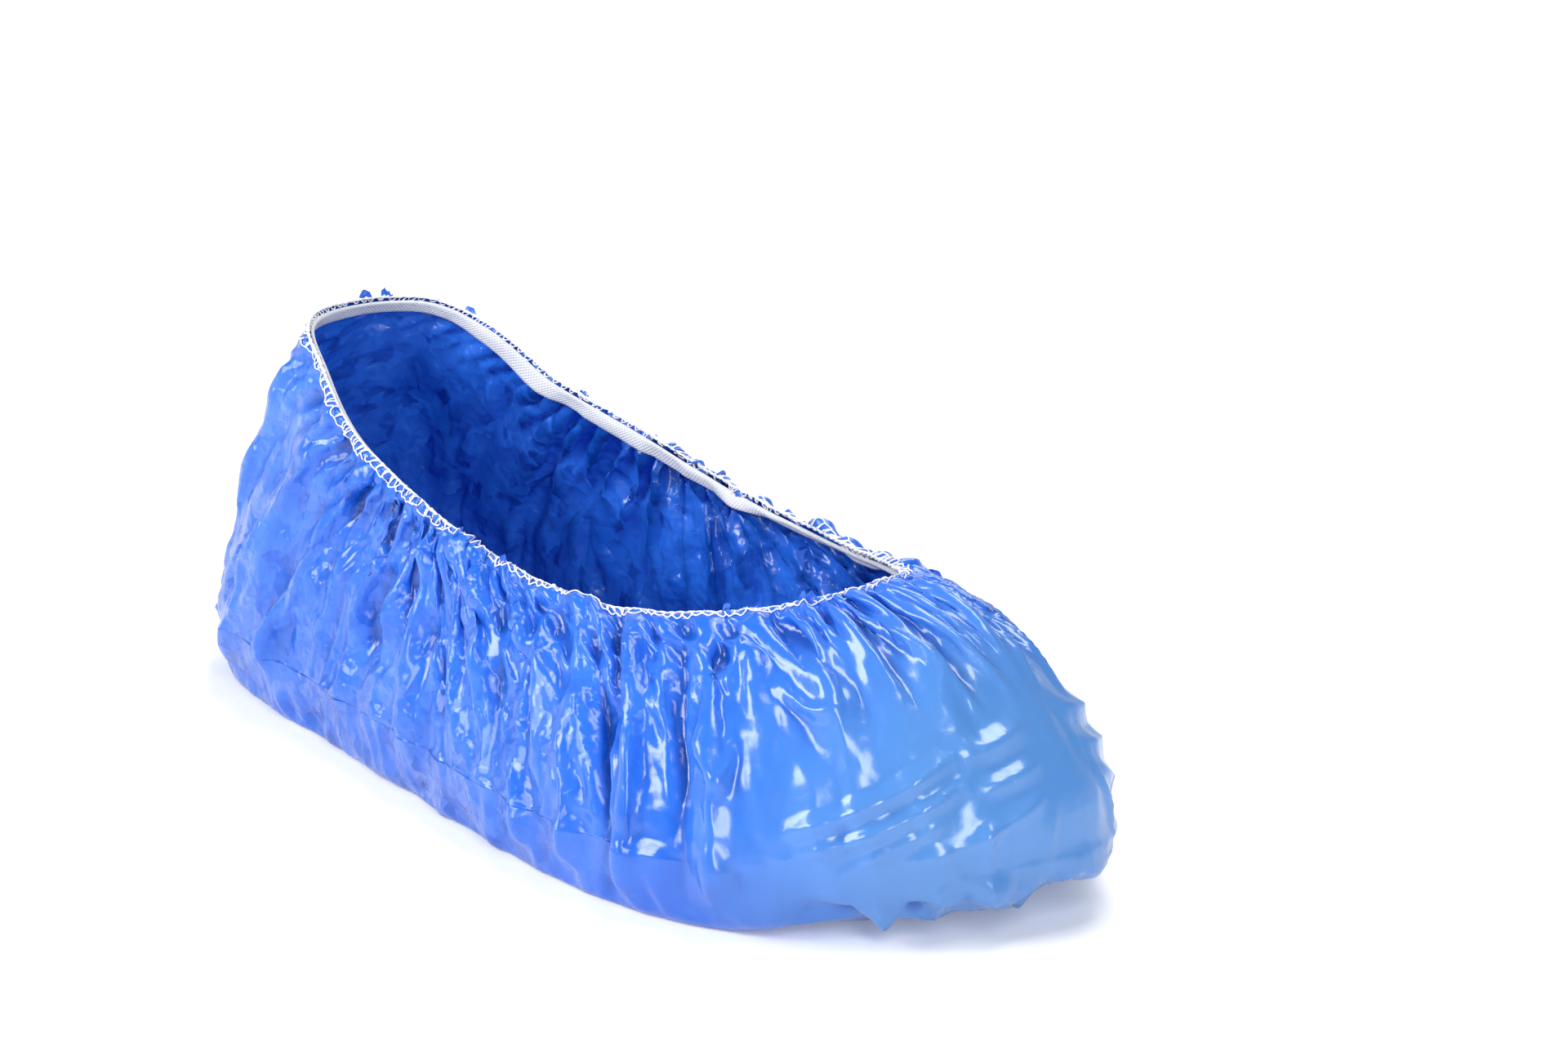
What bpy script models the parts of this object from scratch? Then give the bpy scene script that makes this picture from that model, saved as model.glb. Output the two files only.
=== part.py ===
"""Disposable shoe cover: a one-piece film bag with a gathered, elasticated opening.

The cover keeps the shape of the low shoe it was stretched over. +X points to the toe,
+Y to the inner (medial) side of the foot and +Z up. It stands on its sole at z = 0.
"""
import bpy
import numpy as np

# Plan of the cover, in metres
COVER_LENGTH = 0.3245
LATERAL_REACH = 0.0745
MEDIAL_REACH = 0.0570
TOE_TIP_OFFSET = 0.0090

# Opening: its plan, its distance from the back of the heel, and the heights of its rim
OPENING_LENGTH = 0.2270
OPENING_WIDTH = 0.0890
OPENING_SETBACK = 0.0310
HEEL_RIM_HEIGHT = 0.1070
WAIST_RIM_HEIGHT = 0.0665
FRONT_RIM_HEIGHT = 0.0780

# Side walls: height of the widest line, and how far the film tucks in under it
EDGE_HEIGHT = 0.0180
TOE_EDGE_HEIGHT = 0.0200
SIDE_TUCK = 0.0035
TOE_TUCK = 0.0140
TOE_SPRING = 0.0080

# Where the sole leaves the floor under the toe and where it is fully lifted, and the ends
# of the sole's middle line, as shares of the cover's length
LIFT_FROM = 0.80
LIFT_TO = 0.95
SPINE_FROM = 0.12
SPINE_TO = 0.74

# Film, folds and gathers
FILM_WALL = 0.0012
FOLD_DEPTH = 0.0050
GATHER_DEPTH = 0.0030
GATHERS_PER_SIDE = 21
CREASE_DEPTH = 0.0022

# How folds and gathers start and fade. A fold's way down ends FOLD_ROWS below the rim, in
# rows of which the widest line is the first. The two fades are in rows, at the even rim and
# at the sole, and the eases are shares of the way down
FOLD_ROWS = 1.6
RIM_FADE = (-0.04, 0.16)
FOLD_FADE = (1.35, 1.80)
FOLD_SHARPNESS = 1.3
FOLD_EASE_IN = 0.12
FOLD_EASE_OUT = 0.30
GATHER_FULL = 0.30
GATHER_WANDER = 0.006
WANDER_WAVES = 9.0

# Elastic band sewn inside the rim
BAND_HEIGHT = 0.0050
BAND_THICKNESS = 0.0011
BAND_CLEARANCE = 0.0003

# Mesh density: ribs round the cover and rows from the rim to the sole
RIBS = 168
WALL_ROWS = 10
TUCK_ROWS = 3
SOLE_SHRINK = 0.72
SPAN_SAMPLES = 24
BAND_STEPS = 160

# Widest line of the cover, heel to toe, as shares of its length and of its two reaches
PLAN_COLUMNS = ("along", "lateral", "medial")
PLAN = (
    (0.015, 0.27, 0.35),
    (0.055, 0.50, 0.62),
    (0.132, 0.63, 0.76),
    (0.271, 0.73, 0.80),
    (0.425, 0.84, 0.82),
    (0.579, 0.96, 0.89),
    (0.690, 1.00, 0.98),
    (0.780, 0.95, 0.98),
    (0.863, 0.80, 0.87),
    (0.931, 0.57, 0.67),
    (0.977, 0.31, 0.46),
)

# Rim, heel to front, as shares of the opening's length and half width, and the weights of
# the three rim heights
RIM_COLUMNS = ("along", "lateral", "medial", "heel", "waist", "front")
RIM = (
    (0.000, 0.00, 0.00, 1.00, 0.00, 0.00),
    (0.013, 0.26, 0.30, 1.00, 0.00, 0.00),
    (0.053, 0.48, 0.54, 0.98, 0.02, 0.00),
    (0.132, 0.68, 0.71, 0.83, 0.17, 0.00),
    (0.229, 0.83, 0.83, 0.53, 0.47, 0.00),
    (0.344, 0.93, 0.93, 0.34, 0.66, 0.00),
    (0.515, 1.00, 0.98, 0.11, 0.89, 0.00),
    (0.727, 0.99, 0.88, 0.00, 0.97, 0.03),
    (0.877, 0.80, 0.61, 0.00, 0.65, 0.35),
    (0.960, 0.47, 0.34, 0.00, 0.31, 0.69),
    (1.000, 0.00, 0.00, 0.00, 0.00, 1.00),
)

# Where ribs that stand evenly round the widest line meet the rim, heel (0) to toe (1)
LEAN_COLUMNS = ("place", "rim_share")
LEAN = (
    (0.00, 0.000),
    (0.05, 0.080),
    (0.12, 0.180),
    (0.20, 0.285),
    (0.30, 0.375),
    (0.40, 0.440),
    (0.50, 0.510),
    (0.58, 0.600),
    (0.66, 0.700),
    (0.72, 0.785),
    (0.78, 0.865),
    (0.84, 0.920),
    (0.92, 0.965),
    (1.00, 1.000),
)
LEAN_EASE = 0.05
LEAN_SAMPLES = 9

# Side wall profile, heel (0) to toe (1). Roundness is 1 for a straight tent and 2 for an
# ellipse; the last column blends the side values of edge height and tuck into the toe's
PROFILE_COLUMNS = ("place", "roundness", "toe_blend")
PROFILE = (
    (0.00, 1.18, 0.12),
    (0.20, 1.15, 0.05),
    (0.45, 1.18, 0.00),
    (0.62, 1.32, 0.05),
    (0.75, 1.62, 0.15),
    (0.86, 1.80, 0.45),
    (0.93, 1.85, 0.80),
    (1.00, 1.85, 1.00),
)

# How strongly the elastic gathers the film, heel (0) to front (1), on each side
GATHER_COLUMNS = ("place", "lateral", "medial", "reach")
GATHER = (
    (0.00, 0.20, 0.20, 0.30),
    (0.15, 0.35, 0.30, 0.40),
    (0.35, 0.45, 0.45, 0.40),
    (0.55, 0.70, 0.60, 0.50),
    (0.70, 1.00, 0.85, 0.70),
    (0.85, 1.00, 1.00, 0.45),
    (1.00, 0.80, 0.80, 0.36),
)

# Long folds. Side is -1 lateral, +1 medial. Place is 0 at the heel and 1 at the toe, width
# is in the same unit, depth a share of FOLD_DEPTH, start and end are shares of the way down,
# and lean is how far the fold drifts toward the toe on its way down
FOLD_COLUMNS = ("side", "place", "width", "depth", "start", "end", "lean")
FOLDS = (
    (-1, 0.08, 0.022, 0.60, 0.05, 0.95, -0.010),
    (-1, 0.16, 0.026, 0.90, 0.00, 0.98, -0.025),
    (-1, 0.23, 0.020, 0.55, 0.10, 0.85, -0.030),
    (-1, 0.31, 0.024, 0.70, 0.00, 0.75, 0.020),
    (-1, 0.40, 0.022, 0.60, 0.15, 0.95, 0.035),
    (-1, 0.48, 0.024, 0.55, 0.00, 0.90, -0.020),
    (-1, 0.56, 0.020, 0.80, 0.00, 1.00, 0.015),
    (-1, 0.63, 0.018, 1.00, 0.00, 1.00, -0.010),
    (-1, 0.69, 0.018, 0.90, 0.00, 1.00, -0.015),
    (-1, 0.76, 0.020, 1.00, 0.00, 0.92, -0.020),
    (-1, 0.84, 0.022, 0.70, 0.00, 0.55, 0.010),
    (-1, 0.93, 0.020, 0.60, 0.00, 0.45, 0.015),
    (1, 0.10, 0.024, 0.70, 0.00, 0.90, -0.015),
    (1, 0.21, 0.024, 0.70, 0.05, 0.90, 0.020),
    (1, 0.34, 0.022, 0.60, 0.00, 0.85, -0.020),
    (1, 0.45, 0.022, 0.70, 0.10, 0.95, 0.020),
    (1, 0.56, 0.020, 0.90, 0.00, 1.00, -0.010),
    (1, 0.66, 0.020, 0.90, 0.00, 0.95, 0.015),
    (1, 0.77, 0.022, 0.80, 0.00, 0.70, 0.010),
    (1, 0.90, 0.022, 0.60, 0.00, 0.45, -0.010),
)

# Tension ridges that run across the toe cap. Height is the share of the way down at the
# lateral end, rise is the change toward the medial end, depth a share of CREASE_DEPTH
CREASE_COLUMNS = ("height", "rise", "width", "depth")
CREASES = (
    (0.52, -0.20, 0.050, 0.8),
    (0.66, -0.28, 0.045, 1.0),
    (0.80, -0.24, 0.045, 0.8),
)
CREASE_ZONE = (0.80, 0.97)

# Looks of the two materials
SHARP_ANGLE = 50.0
FILM_COLOR = (0.060, 0.230, 0.800)
FILM_ROUGHNESS = 0.22
ELASTIC_COLOR = (0.850, 0.860, 0.880)
ELASTIC_ROUGHNESS = 0.75


def column(table, names, name):
    """One named column of a table, as an array."""
    return np.array([row[names.index(name)] for row in table], float)


def named_rows(table, names):
    """Each row of a table with its columns by name."""
    return [dict(zip(names, row)) for row in table]


def smooth(value, low, high):
    """0 below low, 1 above high, eased between."""
    share = np.clip((value - low) / (high - low), 0.0, 1.0)
    return share * share * (3.0 - 2.0 * share)


def closed_curve(points):
    """Centripetal Catmull-Rom curve through a closed ring of points."""
    count = len(points)
    share = np.linspace(0.0, 1.0, SPAN_SAMPLES, endpoint=False)[:, None]
    spans = []
    for i in range(count):
        a, b, c, d = (points[(i + k) % count] for k in (-1, 0, 1, 2))
        t1 = np.linalg.norm(b - a) ** 0.5
        t2 = t1 + np.linalg.norm(c - b) ** 0.5
        t3 = t2 + np.linalg.norm(d - c) ** 0.5
        t = t1 + (t2 - t1) * share
        ab = a + (b - a) * t / t1
        bc = b + (c - b) * (t - t1) / (t2 - t1)
        cd = c + (d - c) * (t - t2) / (t3 - t2)
        left = ab + (bc - ab) * t / t2
        right = bc + (cd - bc) * (t - t1) / (t3 - t1)
        spans.append(left + (right - left) * (t - t1) / (t2 - t1))
    return np.vstack(spans)


def by_length(half, shares):
    """Points of an open run of samples at shares of its length."""
    steps = np.linalg.norm(np.diff(half, axis=0), axis=1)
    length = np.concatenate([[0.0], np.cumsum(steps)])
    wanted = shares * length[-1]
    return np.column_stack([np.interp(wanted, length, half[:, k]) for k in range(half.shape[1])])


def ring_at(points, toe_index, place, side):
    """Ring points at a place from heel (0) to toe (1), on the side of each rib."""
    curve = closed_curve(points)
    split = toe_index * SPAN_SAMPLES
    lateral = curve[: split + 1]
    medial = np.vstack([curve[split:], curve[:1]])[::-1]
    on_lateral = by_length(lateral, place)
    on_medial = by_length(medial, place)
    return np.where(side[:, None] < 0, on_lateral, on_medial)


def plan_points():
    """Widest line: heel point, lateral stations, toe tip, medial stations."""
    along = column(PLAN, PLAN_COLUMNS, "along") * COVER_LENGTH
    lateral = -column(PLAN, PLAN_COLUMNS, "lateral") * LATERAL_REACH
    medial = column(PLAN, PLAN_COLUMNS, "medial") * MEDIAL_REACH
    near = np.column_stack([along, lateral])
    far = np.column_stack([along, medial])[::-1]
    heel = np.array([[0.0, 0.0]])
    tip = np.array([[COVER_LENGTH, TOE_TIP_OFFSET]])
    return np.vstack([heel, near, tip, far]), len(near) + 1


def rim_points():
    """Edge of the opening, in the same order as the widest line."""
    x = OPENING_SETBACK + column(RIM, RIM_COLUMNS, "along") * OPENING_LENGTH
    near = -column(RIM, RIM_COLUMNS, "lateral") * OPENING_WIDTH / 2
    far = column(RIM, RIM_COLUMNS, "medial") * OPENING_WIDTH / 2
    z = (
        column(RIM, RIM_COLUMNS, "heel") * HEEL_RIM_HEIGHT
        + column(RIM, RIM_COLUMNS, "waist") * WAIST_RIM_HEIGHT
        + column(RIM, RIM_COLUMNS, "front") * FRONT_RIM_HEIGHT
    )
    lateral = np.column_stack([x, near, z])
    medial = np.column_stack([x, far, z])[-2:0:-1]
    return np.vstack([lateral, medial]), len(lateral) - 1


def rib_places(count):
    """Place (heel 0, toe 1) and side (-1 lateral, +1 medial) of each rib, once round."""
    turn = np.arange(count) / count * 2.0
    place = np.where(turn <= 1.0, turn, 2.0 - turn)
    side = np.where(turn <= 1.0, -1.0, 1.0)
    return place, side


def rim_share(place):
    """Share of the rim's length at which each rib starts."""
    stations = column(LEAN, LEAN_COLUMNS, "place")
    shares = column(LEAN, LEAN_COLUMNS, "rim_share")
    stations = np.concatenate([-stations[:0:-1], stations, 2.0 - stations[-2::-1]])
    shares = np.concatenate([-shares[:0:-1], shares, 2.0 - shares[-2::-1]])
    steps = np.linspace(-LEAN_EASE, LEAN_EASE, LEAN_SAMPLES)
    return np.mean([np.interp(place + step, stations, shares) for step in steps], axis=0)


def base_surface(place, side, rows):
    """Unfolded cover. Rows run 0..1 down the wall, 1..2 round the tuck, 2..3 in the sole."""
    edge = ring_at(*plan_points(), place, side)
    rim = ring_at(*rim_points(), rim_share(place), side)
    stations = column(PROFILE, PROFILE_COLUMNS, "place")
    roundness = np.interp(place, stations, column(PROFILE, PROFILE_COLUMNS, "roundness"))
    blend = np.interp(place, stations, column(PROFILE, PROFILE_COLUMNS, "toe_blend"))
    edge_z = EDGE_HEIGHT + (TOE_EDGE_HEIGHT - EDGE_HEIGHT) * blend
    tuck = SIDE_TUCK + (TOE_TUCK - SIDE_TUCK) * blend

    tangent = np.roll(edge, -1, axis=0) - np.roll(edge, 1, axis=0)
    outward = np.column_stack([tangent[:, 1], -tangent[:, 0]])
    outward /= np.linalg.norm(outward, axis=1)[:, None]
    outward *= np.sign(np.sum(outward * (edge - edge.mean(axis=0)), axis=1))[:, None]
    foot = edge - outward * tuck[:, None]
    lift = TOE_SPRING * smooth(foot[:, 0], LIFT_FROM * COVER_LENGTH, LIFT_TO * COVER_LENGTH)

    spine_x = np.clip(foot[:, 0], SPINE_FROM * COVER_LENGTH, SPINE_TO * COVER_LENGTH)
    spine = np.column_stack([spine_x, np.zeros(len(foot))])
    flat = spine + (foot - spine) * SOLE_SHRINK

    surface = np.zeros((len(rows), len(place), 3))
    for i, row in enumerate(rows):
        if row <= 1.0:
            angle = row * np.pi / 2
            across = np.sin(angle) ** (2.0 / roundness)
            down = max(np.cos(angle), 0.0) ** (2.0 / roundness)
            surface[i, :, :2] = rim[:, :2] + (edge - rim[:, :2]) * across[:, None]
            surface[i, :, 2] = edge_z + (rim[:, 2] - edge_z) * down
        elif row <= 2.0:
            angle = (row - 1.0) * np.pi / 2
            surface[i, :, :2] = edge + (foot - edge) * (1.0 - np.cos(angle))
            surface[i, :, 2] = lift + (edge_z - lift) * (1.0 - np.sin(angle))
        else:
            share = row - 2.0
            surface[i, :, :2] = foot + (flat - foot) * share
            surface[i, :, 2] = lift * (1.0 - share) ** 2
    return surface


def normals(surface):
    """Outward unit normals of a grid that closes round its ribs."""
    along = np.roll(surface, -1, axis=1) - np.roll(surface, 1, axis=1)
    down = np.gradient(surface, axis=0)
    normal = np.cross(down, along)
    length = np.linalg.norm(normal, axis=2)[:, :, None]
    return normal / np.maximum(length, 1e-12)


def fold_heights(place, side, rows):
    """How far folds, gathers and creases stand out from the unfolded cover."""
    down = rows[:, None] / FOLD_ROWS
    at = place[None, :]
    on = side[None, :]
    height = np.zeros((len(rows), len(place)))
    for fold in named_rows(FOLDS, FOLD_COLUMNS):
        offset = (at - fold["place"] - fold["lean"] * down) / fold["width"]
        ridge = np.clip(1.0 - np.abs(offset), 0.0, 1.0) ** FOLD_SHARPNESS
        opening = smooth(down, fold["start"] - FOLD_EASE_IN, fold["start"] + FOLD_EASE_IN)
        closing = 1.0 - smooth(down, fold["end"] - FOLD_EASE_OUT, fold["end"])
        height += FOLD_DEPTH * fold["depth"] * ridge * opening * closing * (on == fold["side"])

    stations = column(GATHER, GATHER_COLUMNS, "place")
    lateral = np.interp(at, stations, column(GATHER, GATHER_COLUMNS, "lateral"))
    medial = np.interp(at, stations, column(GATHER, GATHER_COLUMNS, "medial"))
    strength = np.where(on < 0, lateral, medial)
    reach = np.interp(at, stations, column(GATHER, GATHER_COLUMNS, "reach"))
    wander = GATHER_WANDER * np.sin(WANDER_WAVES * at + on)
    wave = 0.5 - 0.5 * np.cos(2.0 * np.pi * GATHERS_PER_SIDE * (at + wander))
    height += GATHER_DEPTH * strength * wave * (1.0 - smooth(down, GATHER_FULL * reach, reach))

    across = (1.0 - at) * on
    zone = smooth(at, *CREASE_ZONE)
    for crease in named_rows(CREASES, CREASE_COLUMNS):
        offset = (down - crease["height"] - crease["rise"] * across) / crease["width"]
        height += CREASE_DEPTH * crease["depth"] * zone * np.exp(-offset * offset)
    fade = smooth(rows, *RIM_FADE) * (1.0 - smooth(rows, *FOLD_FADE))
    return height * fade[:, None]


def film_rows():
    """Row values from the rim to the flat of the sole."""
    wall = np.linspace(0.0, 1.0, WALL_ROWS + 1)
    tuck = 1.0 + np.linspace(0.0, 1.0, TUCK_ROWS + 1)[1:]
    return np.concatenate([wall, tuck, [3.0]])


def strips(first, second, count, flip):
    """Quads between two rings of vertices that start at the given indices."""
    quads = []
    for i in range(count):
        j = (i + 1) % count
        quad = (first + i, first + j, second + j, second + i)
        quads.append(quad[::-1] if flip else quad)
    return quads


def film_mesh():
    """Outer and inner faces of the film, joined at the rim and flat on the floor."""
    place, side = rib_places(RIBS)
    rows = film_rows()
    base = base_surface(place, side, rows)
    normal = normals(base)
    outer = base + normal * fold_heights(place, side, rows)[:, :, None]
    outer[-1, :, 2] = 0.0
    outer[:, :, 2] = np.maximum(outer[:, :, 2], 0.0)
    inner = outer - normal * FILM_WALL
    inner[-2:, :, 2] = outer[-2:, :, 2] + FILM_WALL
    inner[:, :, 2] = np.maximum(inner[:, :, 2], FILM_WALL)

    count = len(rows)
    vertices = np.vstack([outer.reshape(-1, 3), inner.reshape(-1, 3)])
    inside = count * RIBS
    faces = []
    for i in range(count - 1):
        faces += strips(i * RIBS, (i + 1) * RIBS, RIBS, True)
        faces += strips(inside + i * RIBS, inside + (i + 1) * RIBS, RIBS, False)
    faces += strips(0, inside, RIBS, False)
    last = (count - 1) * RIBS
    faces.append(tuple(range(last + RIBS - 1, last - 1, -1)))
    faces.append(tuple(range(inside + last, inside + last + RIBS)))
    return vertices, faces


def band_mesh():
    """Flat elastic strip that follows the inside of the rim."""
    place, side = rib_places(RIBS)
    rows = np.linspace(0.0, 1.0, BAND_STEPS + 1)
    base = base_surface(place, side, rows)
    normal = normals(base)
    drop = np.linalg.norm(np.diff(base, axis=0), axis=2).cumsum(axis=0)
    lower = (drop < BAND_HEIGHT).sum(axis=0) + 1
    ribs = np.arange(RIBS)
    top = base[0]
    bottom = base[lower, ribs]
    top_normal = normal[0]
    bottom_normal = normal[lower, ribs]
    near = FILM_WALL + BAND_CLEARANCE
    far = near + BAND_THICKNESS
    rings = (
        top - top_normal * near,
        bottom - bottom_normal * near,
        bottom - bottom_normal * far,
        top - top_normal * far,
    )
    faces = []
    for i in range(4):
        faces += strips(i * RIBS, (i + 1) % 4 * RIBS, RIBS, True)
    return np.vstack(rings), faces


def finish(name, color, roughness):
    """Plain Principled material."""
    material = bpy.data.materials.new(name)
    material.use_nodes = True
    shader = material.node_tree.nodes["Principled BSDF"]
    shader.inputs["Base Color"].default_value = (*color, 1.0)
    shader.inputs["Roughness"].default_value = roughness
    return material


def add_piece(name, vertices, faces, origin, material):
    """One closed solid, moved so that the cover's middle stands over the origin."""
    mesh = bpy.data.meshes.new(name)
    mesh.from_pydata([tuple(point - origin) for point in vertices], [], faces)
    mesh.validate()
    mesh.materials.append(material)
    mesh.shade_smooth()
    mesh.set_sharp_from_angle(angle=np.radians(SHARP_ANGLE))
    piece = bpy.data.objects.new(name, mesh)
    bpy.context.scene.collection.objects.link(piece)
    return piece


def clear_scene():
    """Take out whatever the file starts with."""
    for item in list(bpy.data.objects):
        bpy.data.objects.remove(item, do_unlink=True)


def main():
    """Build the film and the band, centred over the floor under the cover."""
    clear_scene()
    film, film_faces = film_mesh()
    low, high = film.min(axis=0), film.max(axis=0)
    origin = np.array([(low[0] + high[0]) / 2, (low[1] + high[1]) / 2, low[2]])
    blue = finish("film_blue", FILM_COLOR, FILM_ROUGHNESS)
    white = finish("elastic_white", ELASTIC_COLOR, ELASTIC_ROUGHNESS)
    add_piece("film_body", film, film_faces, origin, blue)
    band, band_faces = band_mesh()
    add_piece("elastic_band", band, band_faces, origin, white)


main()
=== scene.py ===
"""Looks of the disposable shoe cover: gathered and creased film, knitted elastic, overlock."""

import bpy
import numpy as np
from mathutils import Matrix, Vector


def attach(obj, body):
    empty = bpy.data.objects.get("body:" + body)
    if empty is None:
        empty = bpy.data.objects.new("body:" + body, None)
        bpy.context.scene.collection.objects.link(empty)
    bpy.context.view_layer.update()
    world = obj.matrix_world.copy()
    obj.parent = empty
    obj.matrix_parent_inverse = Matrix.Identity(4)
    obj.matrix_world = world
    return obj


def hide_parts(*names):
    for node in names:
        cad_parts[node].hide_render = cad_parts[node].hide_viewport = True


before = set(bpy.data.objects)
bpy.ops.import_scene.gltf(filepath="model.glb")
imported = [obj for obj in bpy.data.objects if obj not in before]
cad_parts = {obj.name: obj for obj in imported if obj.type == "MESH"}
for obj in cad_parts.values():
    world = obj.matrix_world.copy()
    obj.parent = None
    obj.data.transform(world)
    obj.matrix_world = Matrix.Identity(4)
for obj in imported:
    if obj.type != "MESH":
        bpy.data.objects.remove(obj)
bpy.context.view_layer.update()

# Plan of the cover, in metres
COVER_LENGTH = 0.3245
LATERAL_REACH = 0.0745
MEDIAL_REACH = 0.0570
TOE_TIP_OFFSET = 0.0090

# Opening: its plan, its distance from the back of the heel, and the heights of its rim
OPENING_LENGTH = 0.2270
OPENING_WIDTH = 0.0890
OPENING_SETBACK = 0.0310
HEEL_RIM_HEIGHT = 0.1070
WAIST_RIM_HEIGHT = 0.0665
FRONT_RIM_HEIGHT = 0.0780

# Side walls: height of the widest line, and how far the film tucks in under it
EDGE_HEIGHT = 0.0180
TOE_EDGE_HEIGHT = 0.0200
SIDE_TUCK = 0.0035
TOE_TUCK = 0.0140
TOE_SPRING = 0.0080

# Where the sole leaves the floor under the toe and where it is fully lifted, and the ends
# of the sole's middle line, as shares of the cover's length
LIFT_FROM = 0.80
LIFT_TO = 0.95
SPINE_FROM = 0.12
SPINE_TO = 0.74

# Film, folds and gathers
FOLD_DEPTH = 0.0050
GATHER_DEPTH = 0.0030
GATHERS_PER_SIDE = 21
CREASE_DEPTH = 0.0022

# How folds and gathers start and fade. A fold's way down ends FOLD_ROWS below the rim, in
# rows of which the widest line is the first. The two fades are in rows, at the even rim and
# at the sole, and the eases are shares of the way down
FOLD_ROWS = 1.6
RIM_FADE = (-0.04, 0.16)
FOLD_FADE = (1.35, 1.80)
FOLD_SHARPNESS = 1.3
FOLD_EASE_IN = 0.12
FOLD_EASE_OUT = 0.30
GATHER_FULL = 0.30
GATHER_WANDER = 0.006
WANDER_WAVES = 9.0

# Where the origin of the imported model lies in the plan
PLAN_ORIGIN = np.array([0.16286, -0.00925, 0.0])

# Mesh of the film: ribs round the cover and rows down it, before they are doubled. Its sole
# lies SOLE_LIFT above the floor
RIBS = 384
WALL_ROWS = 48
TUCK_ROWS = 6
SOLE_ROWS = 4
SOLE_LIFT = 0.0007
SOLE_SHRINK = 0.72
SPAN_SAMPLES = 24

# Film as it was cut, and how it is relaxed over the foot form
CUT_SLACK = 1.02
SIM_SCALE = 10.0
GATHER_FRAMES = 30
SETTLE_FRAMES = 12
WOBBLE_DEPTH = 0.0006
WOBBLE_WAVES = (12, 70)
WOBBLE_DRIFT = 2.0
WOBBLE_START = (-0.01, 0.08)
WOBBLE_END = (0.9, 1.5)
FOLD_SHARE = 0.9
DENT_LIMIT = 0.0060
SWELL_LIMIT = 0.0028
RIM_DENT = 0.0003
RIM_FREE = (0.003, 0.012)
CLOTH = {
    "quality": 6,
    "mass": 0.15,
    "air_damping": 1.0,
    "tension_stiffness": 15.0,
    "compression_stiffness": 15.0,
    "shear_stiffness": 5.0,
    "bending_stiffness": 0.5,
}

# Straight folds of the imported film
LONG_FOLDS = 4
LONG_FOLD_DEPTH = 0.00040
LONG_FOLD_LENGTHS = (0.014, 0.034)
LONG_FOLD_BEND = 20.0
LONG_FOLD_WANDER = 0.35

# Rim: how far below it points can be placed, and over how many ribs its normals are evened
RIM_RINGS = 14
RIM_MARGIN = 0.001
SOFT_REACH = 8
EVEN_REACH = 6

# Elastic strip inside the rim. Its picture of the knit has STRIP_LEVELS rows to its height
STRIP_HEIGHT = 0.0044
STRIP_GAP = 0.0009
STRIP_THICKNESS = 0.0010
STRIP_STEPS = 900
STRIP_LEVELS = 5.0

# Overlock thread
STITCH_PITCH = 0.0029
STITCH_DEPTH = 0.0031
THREAD_RADIUS = 0.00021
THREAD_LIFT = 0.00022
THREAD_SIDES = 6
PITCH_JITTER = 0.10
DEPTH_JITTER = 0.06

# Edge of the overlock: its points to a stitch, its depth as a share of a stitch's and how
# much deeper it hangs in the middle, and how much it lifts at the ends
SCALLOP_POINTS = 8
SCALLOP_DEPTH = 0.92
SCALLOP_HANG = 0.22
SCALLOP_LIFT = 0.0002

# The two threads twisted along the rim: points to a stitch, and middle and swing of their
# depth and of their distance from the film
RIM_THREAD_RADIUS = 0.00027
RIM_THREAD_POINTS = 6
RIM_THREAD_DEPTH = (0.00015, 0.0002)
RIM_THREAD_LIFT = (0.00005, 0.00026)

# One rung of the overlock, over the rim and back: share of the pitch, share of the stitch's
# depth, and millimetres out from the film
RUNG_COLUMNS = ("share", "depth", "lift")
RUNG = (
    (0.00, 1.00, 0.40),
    (0.03, 0.70, 0.38),
    (0.08, 0.40, 0.38),
    (0.13, 0.12, 0.42),
    (0.18, 0.00, 0.28),
    (0.24, 0.25, -0.60),
    (0.34, 0.42, -0.95),
    (0.66, 0.42, -0.95),
    (0.76, 0.25, -0.60),
    (0.80, 0.00, 0.28),
    (0.85, 0.15, 0.42),
    (0.90, 0.45, 0.38),
    (0.95, 0.75, 0.38),
)

# Camera of the photograph
CAMERA_AZIMUTH = 48.0
CAMERA_ELEVATION = 17.5
CAMERA_DISTANCE = 1.5323
CAMERA_LENS = 121.9
CAMERA_TARGET = Vector((-0.0382, 0.0956, 0.0450))

# Four soft boxes, in metres and watts, and a surround that is bright at the horizon
LIGHT_COLUMNS = ("name", "place", "size", "energy")
LIGHTS = (
    ("key", (-0.60, -1.20, 0.95), (1.05, 0.60), 20.0),
    ("side", (1.20, -0.60, 0.80), (0.35, 0.90), 9.5),
    ("top", (0.10, 0.30, 1.40), (0.85, 0.35), 8.5),
    ("back", (-0.60, 1.00, 0.90), (0.80, 0.40), 5.0),
)
LIGHT_AIM = Vector((0.0, 0.0, 0.04))
WORLD_HORIZON = 0.85
WORLD_ZENITH = 0.20
WORLD_TOP = 0.45
FLOOR_REACH = 4
FLOOR_CORNERS = ((-1, -1), (1, -1), (1, 1), (-1, 1))
FLOOR_GLOW = 0.17

# Film: its two blues, the toe's paler blue (the taut film's own tone with a painted sheen of
# light), painted shade on the lowest part near the floor and painted shade in deep folds, each
# with the stretch over which it comes in and how much of it there is at most
DARK_BLUE = (0.014, 0.135, 0.690, 1.0)
CLEAR_BLUE = (0.036, 0.190, 0.830, 1.0)
# The toe's paler grey-blue: partly the taut film's own tone, partly a painted sheen of light on
# the toe cap
TOE_TONE_AND_SHEEN_BLUE = (0.105, 0.290, 0.600, 1.0)
TOE_TONE_AND_SHEEN_ZONE = (0.085, 0.150)
TOE_TONE_AND_SHEEN_SHARE = 0.75
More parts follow.
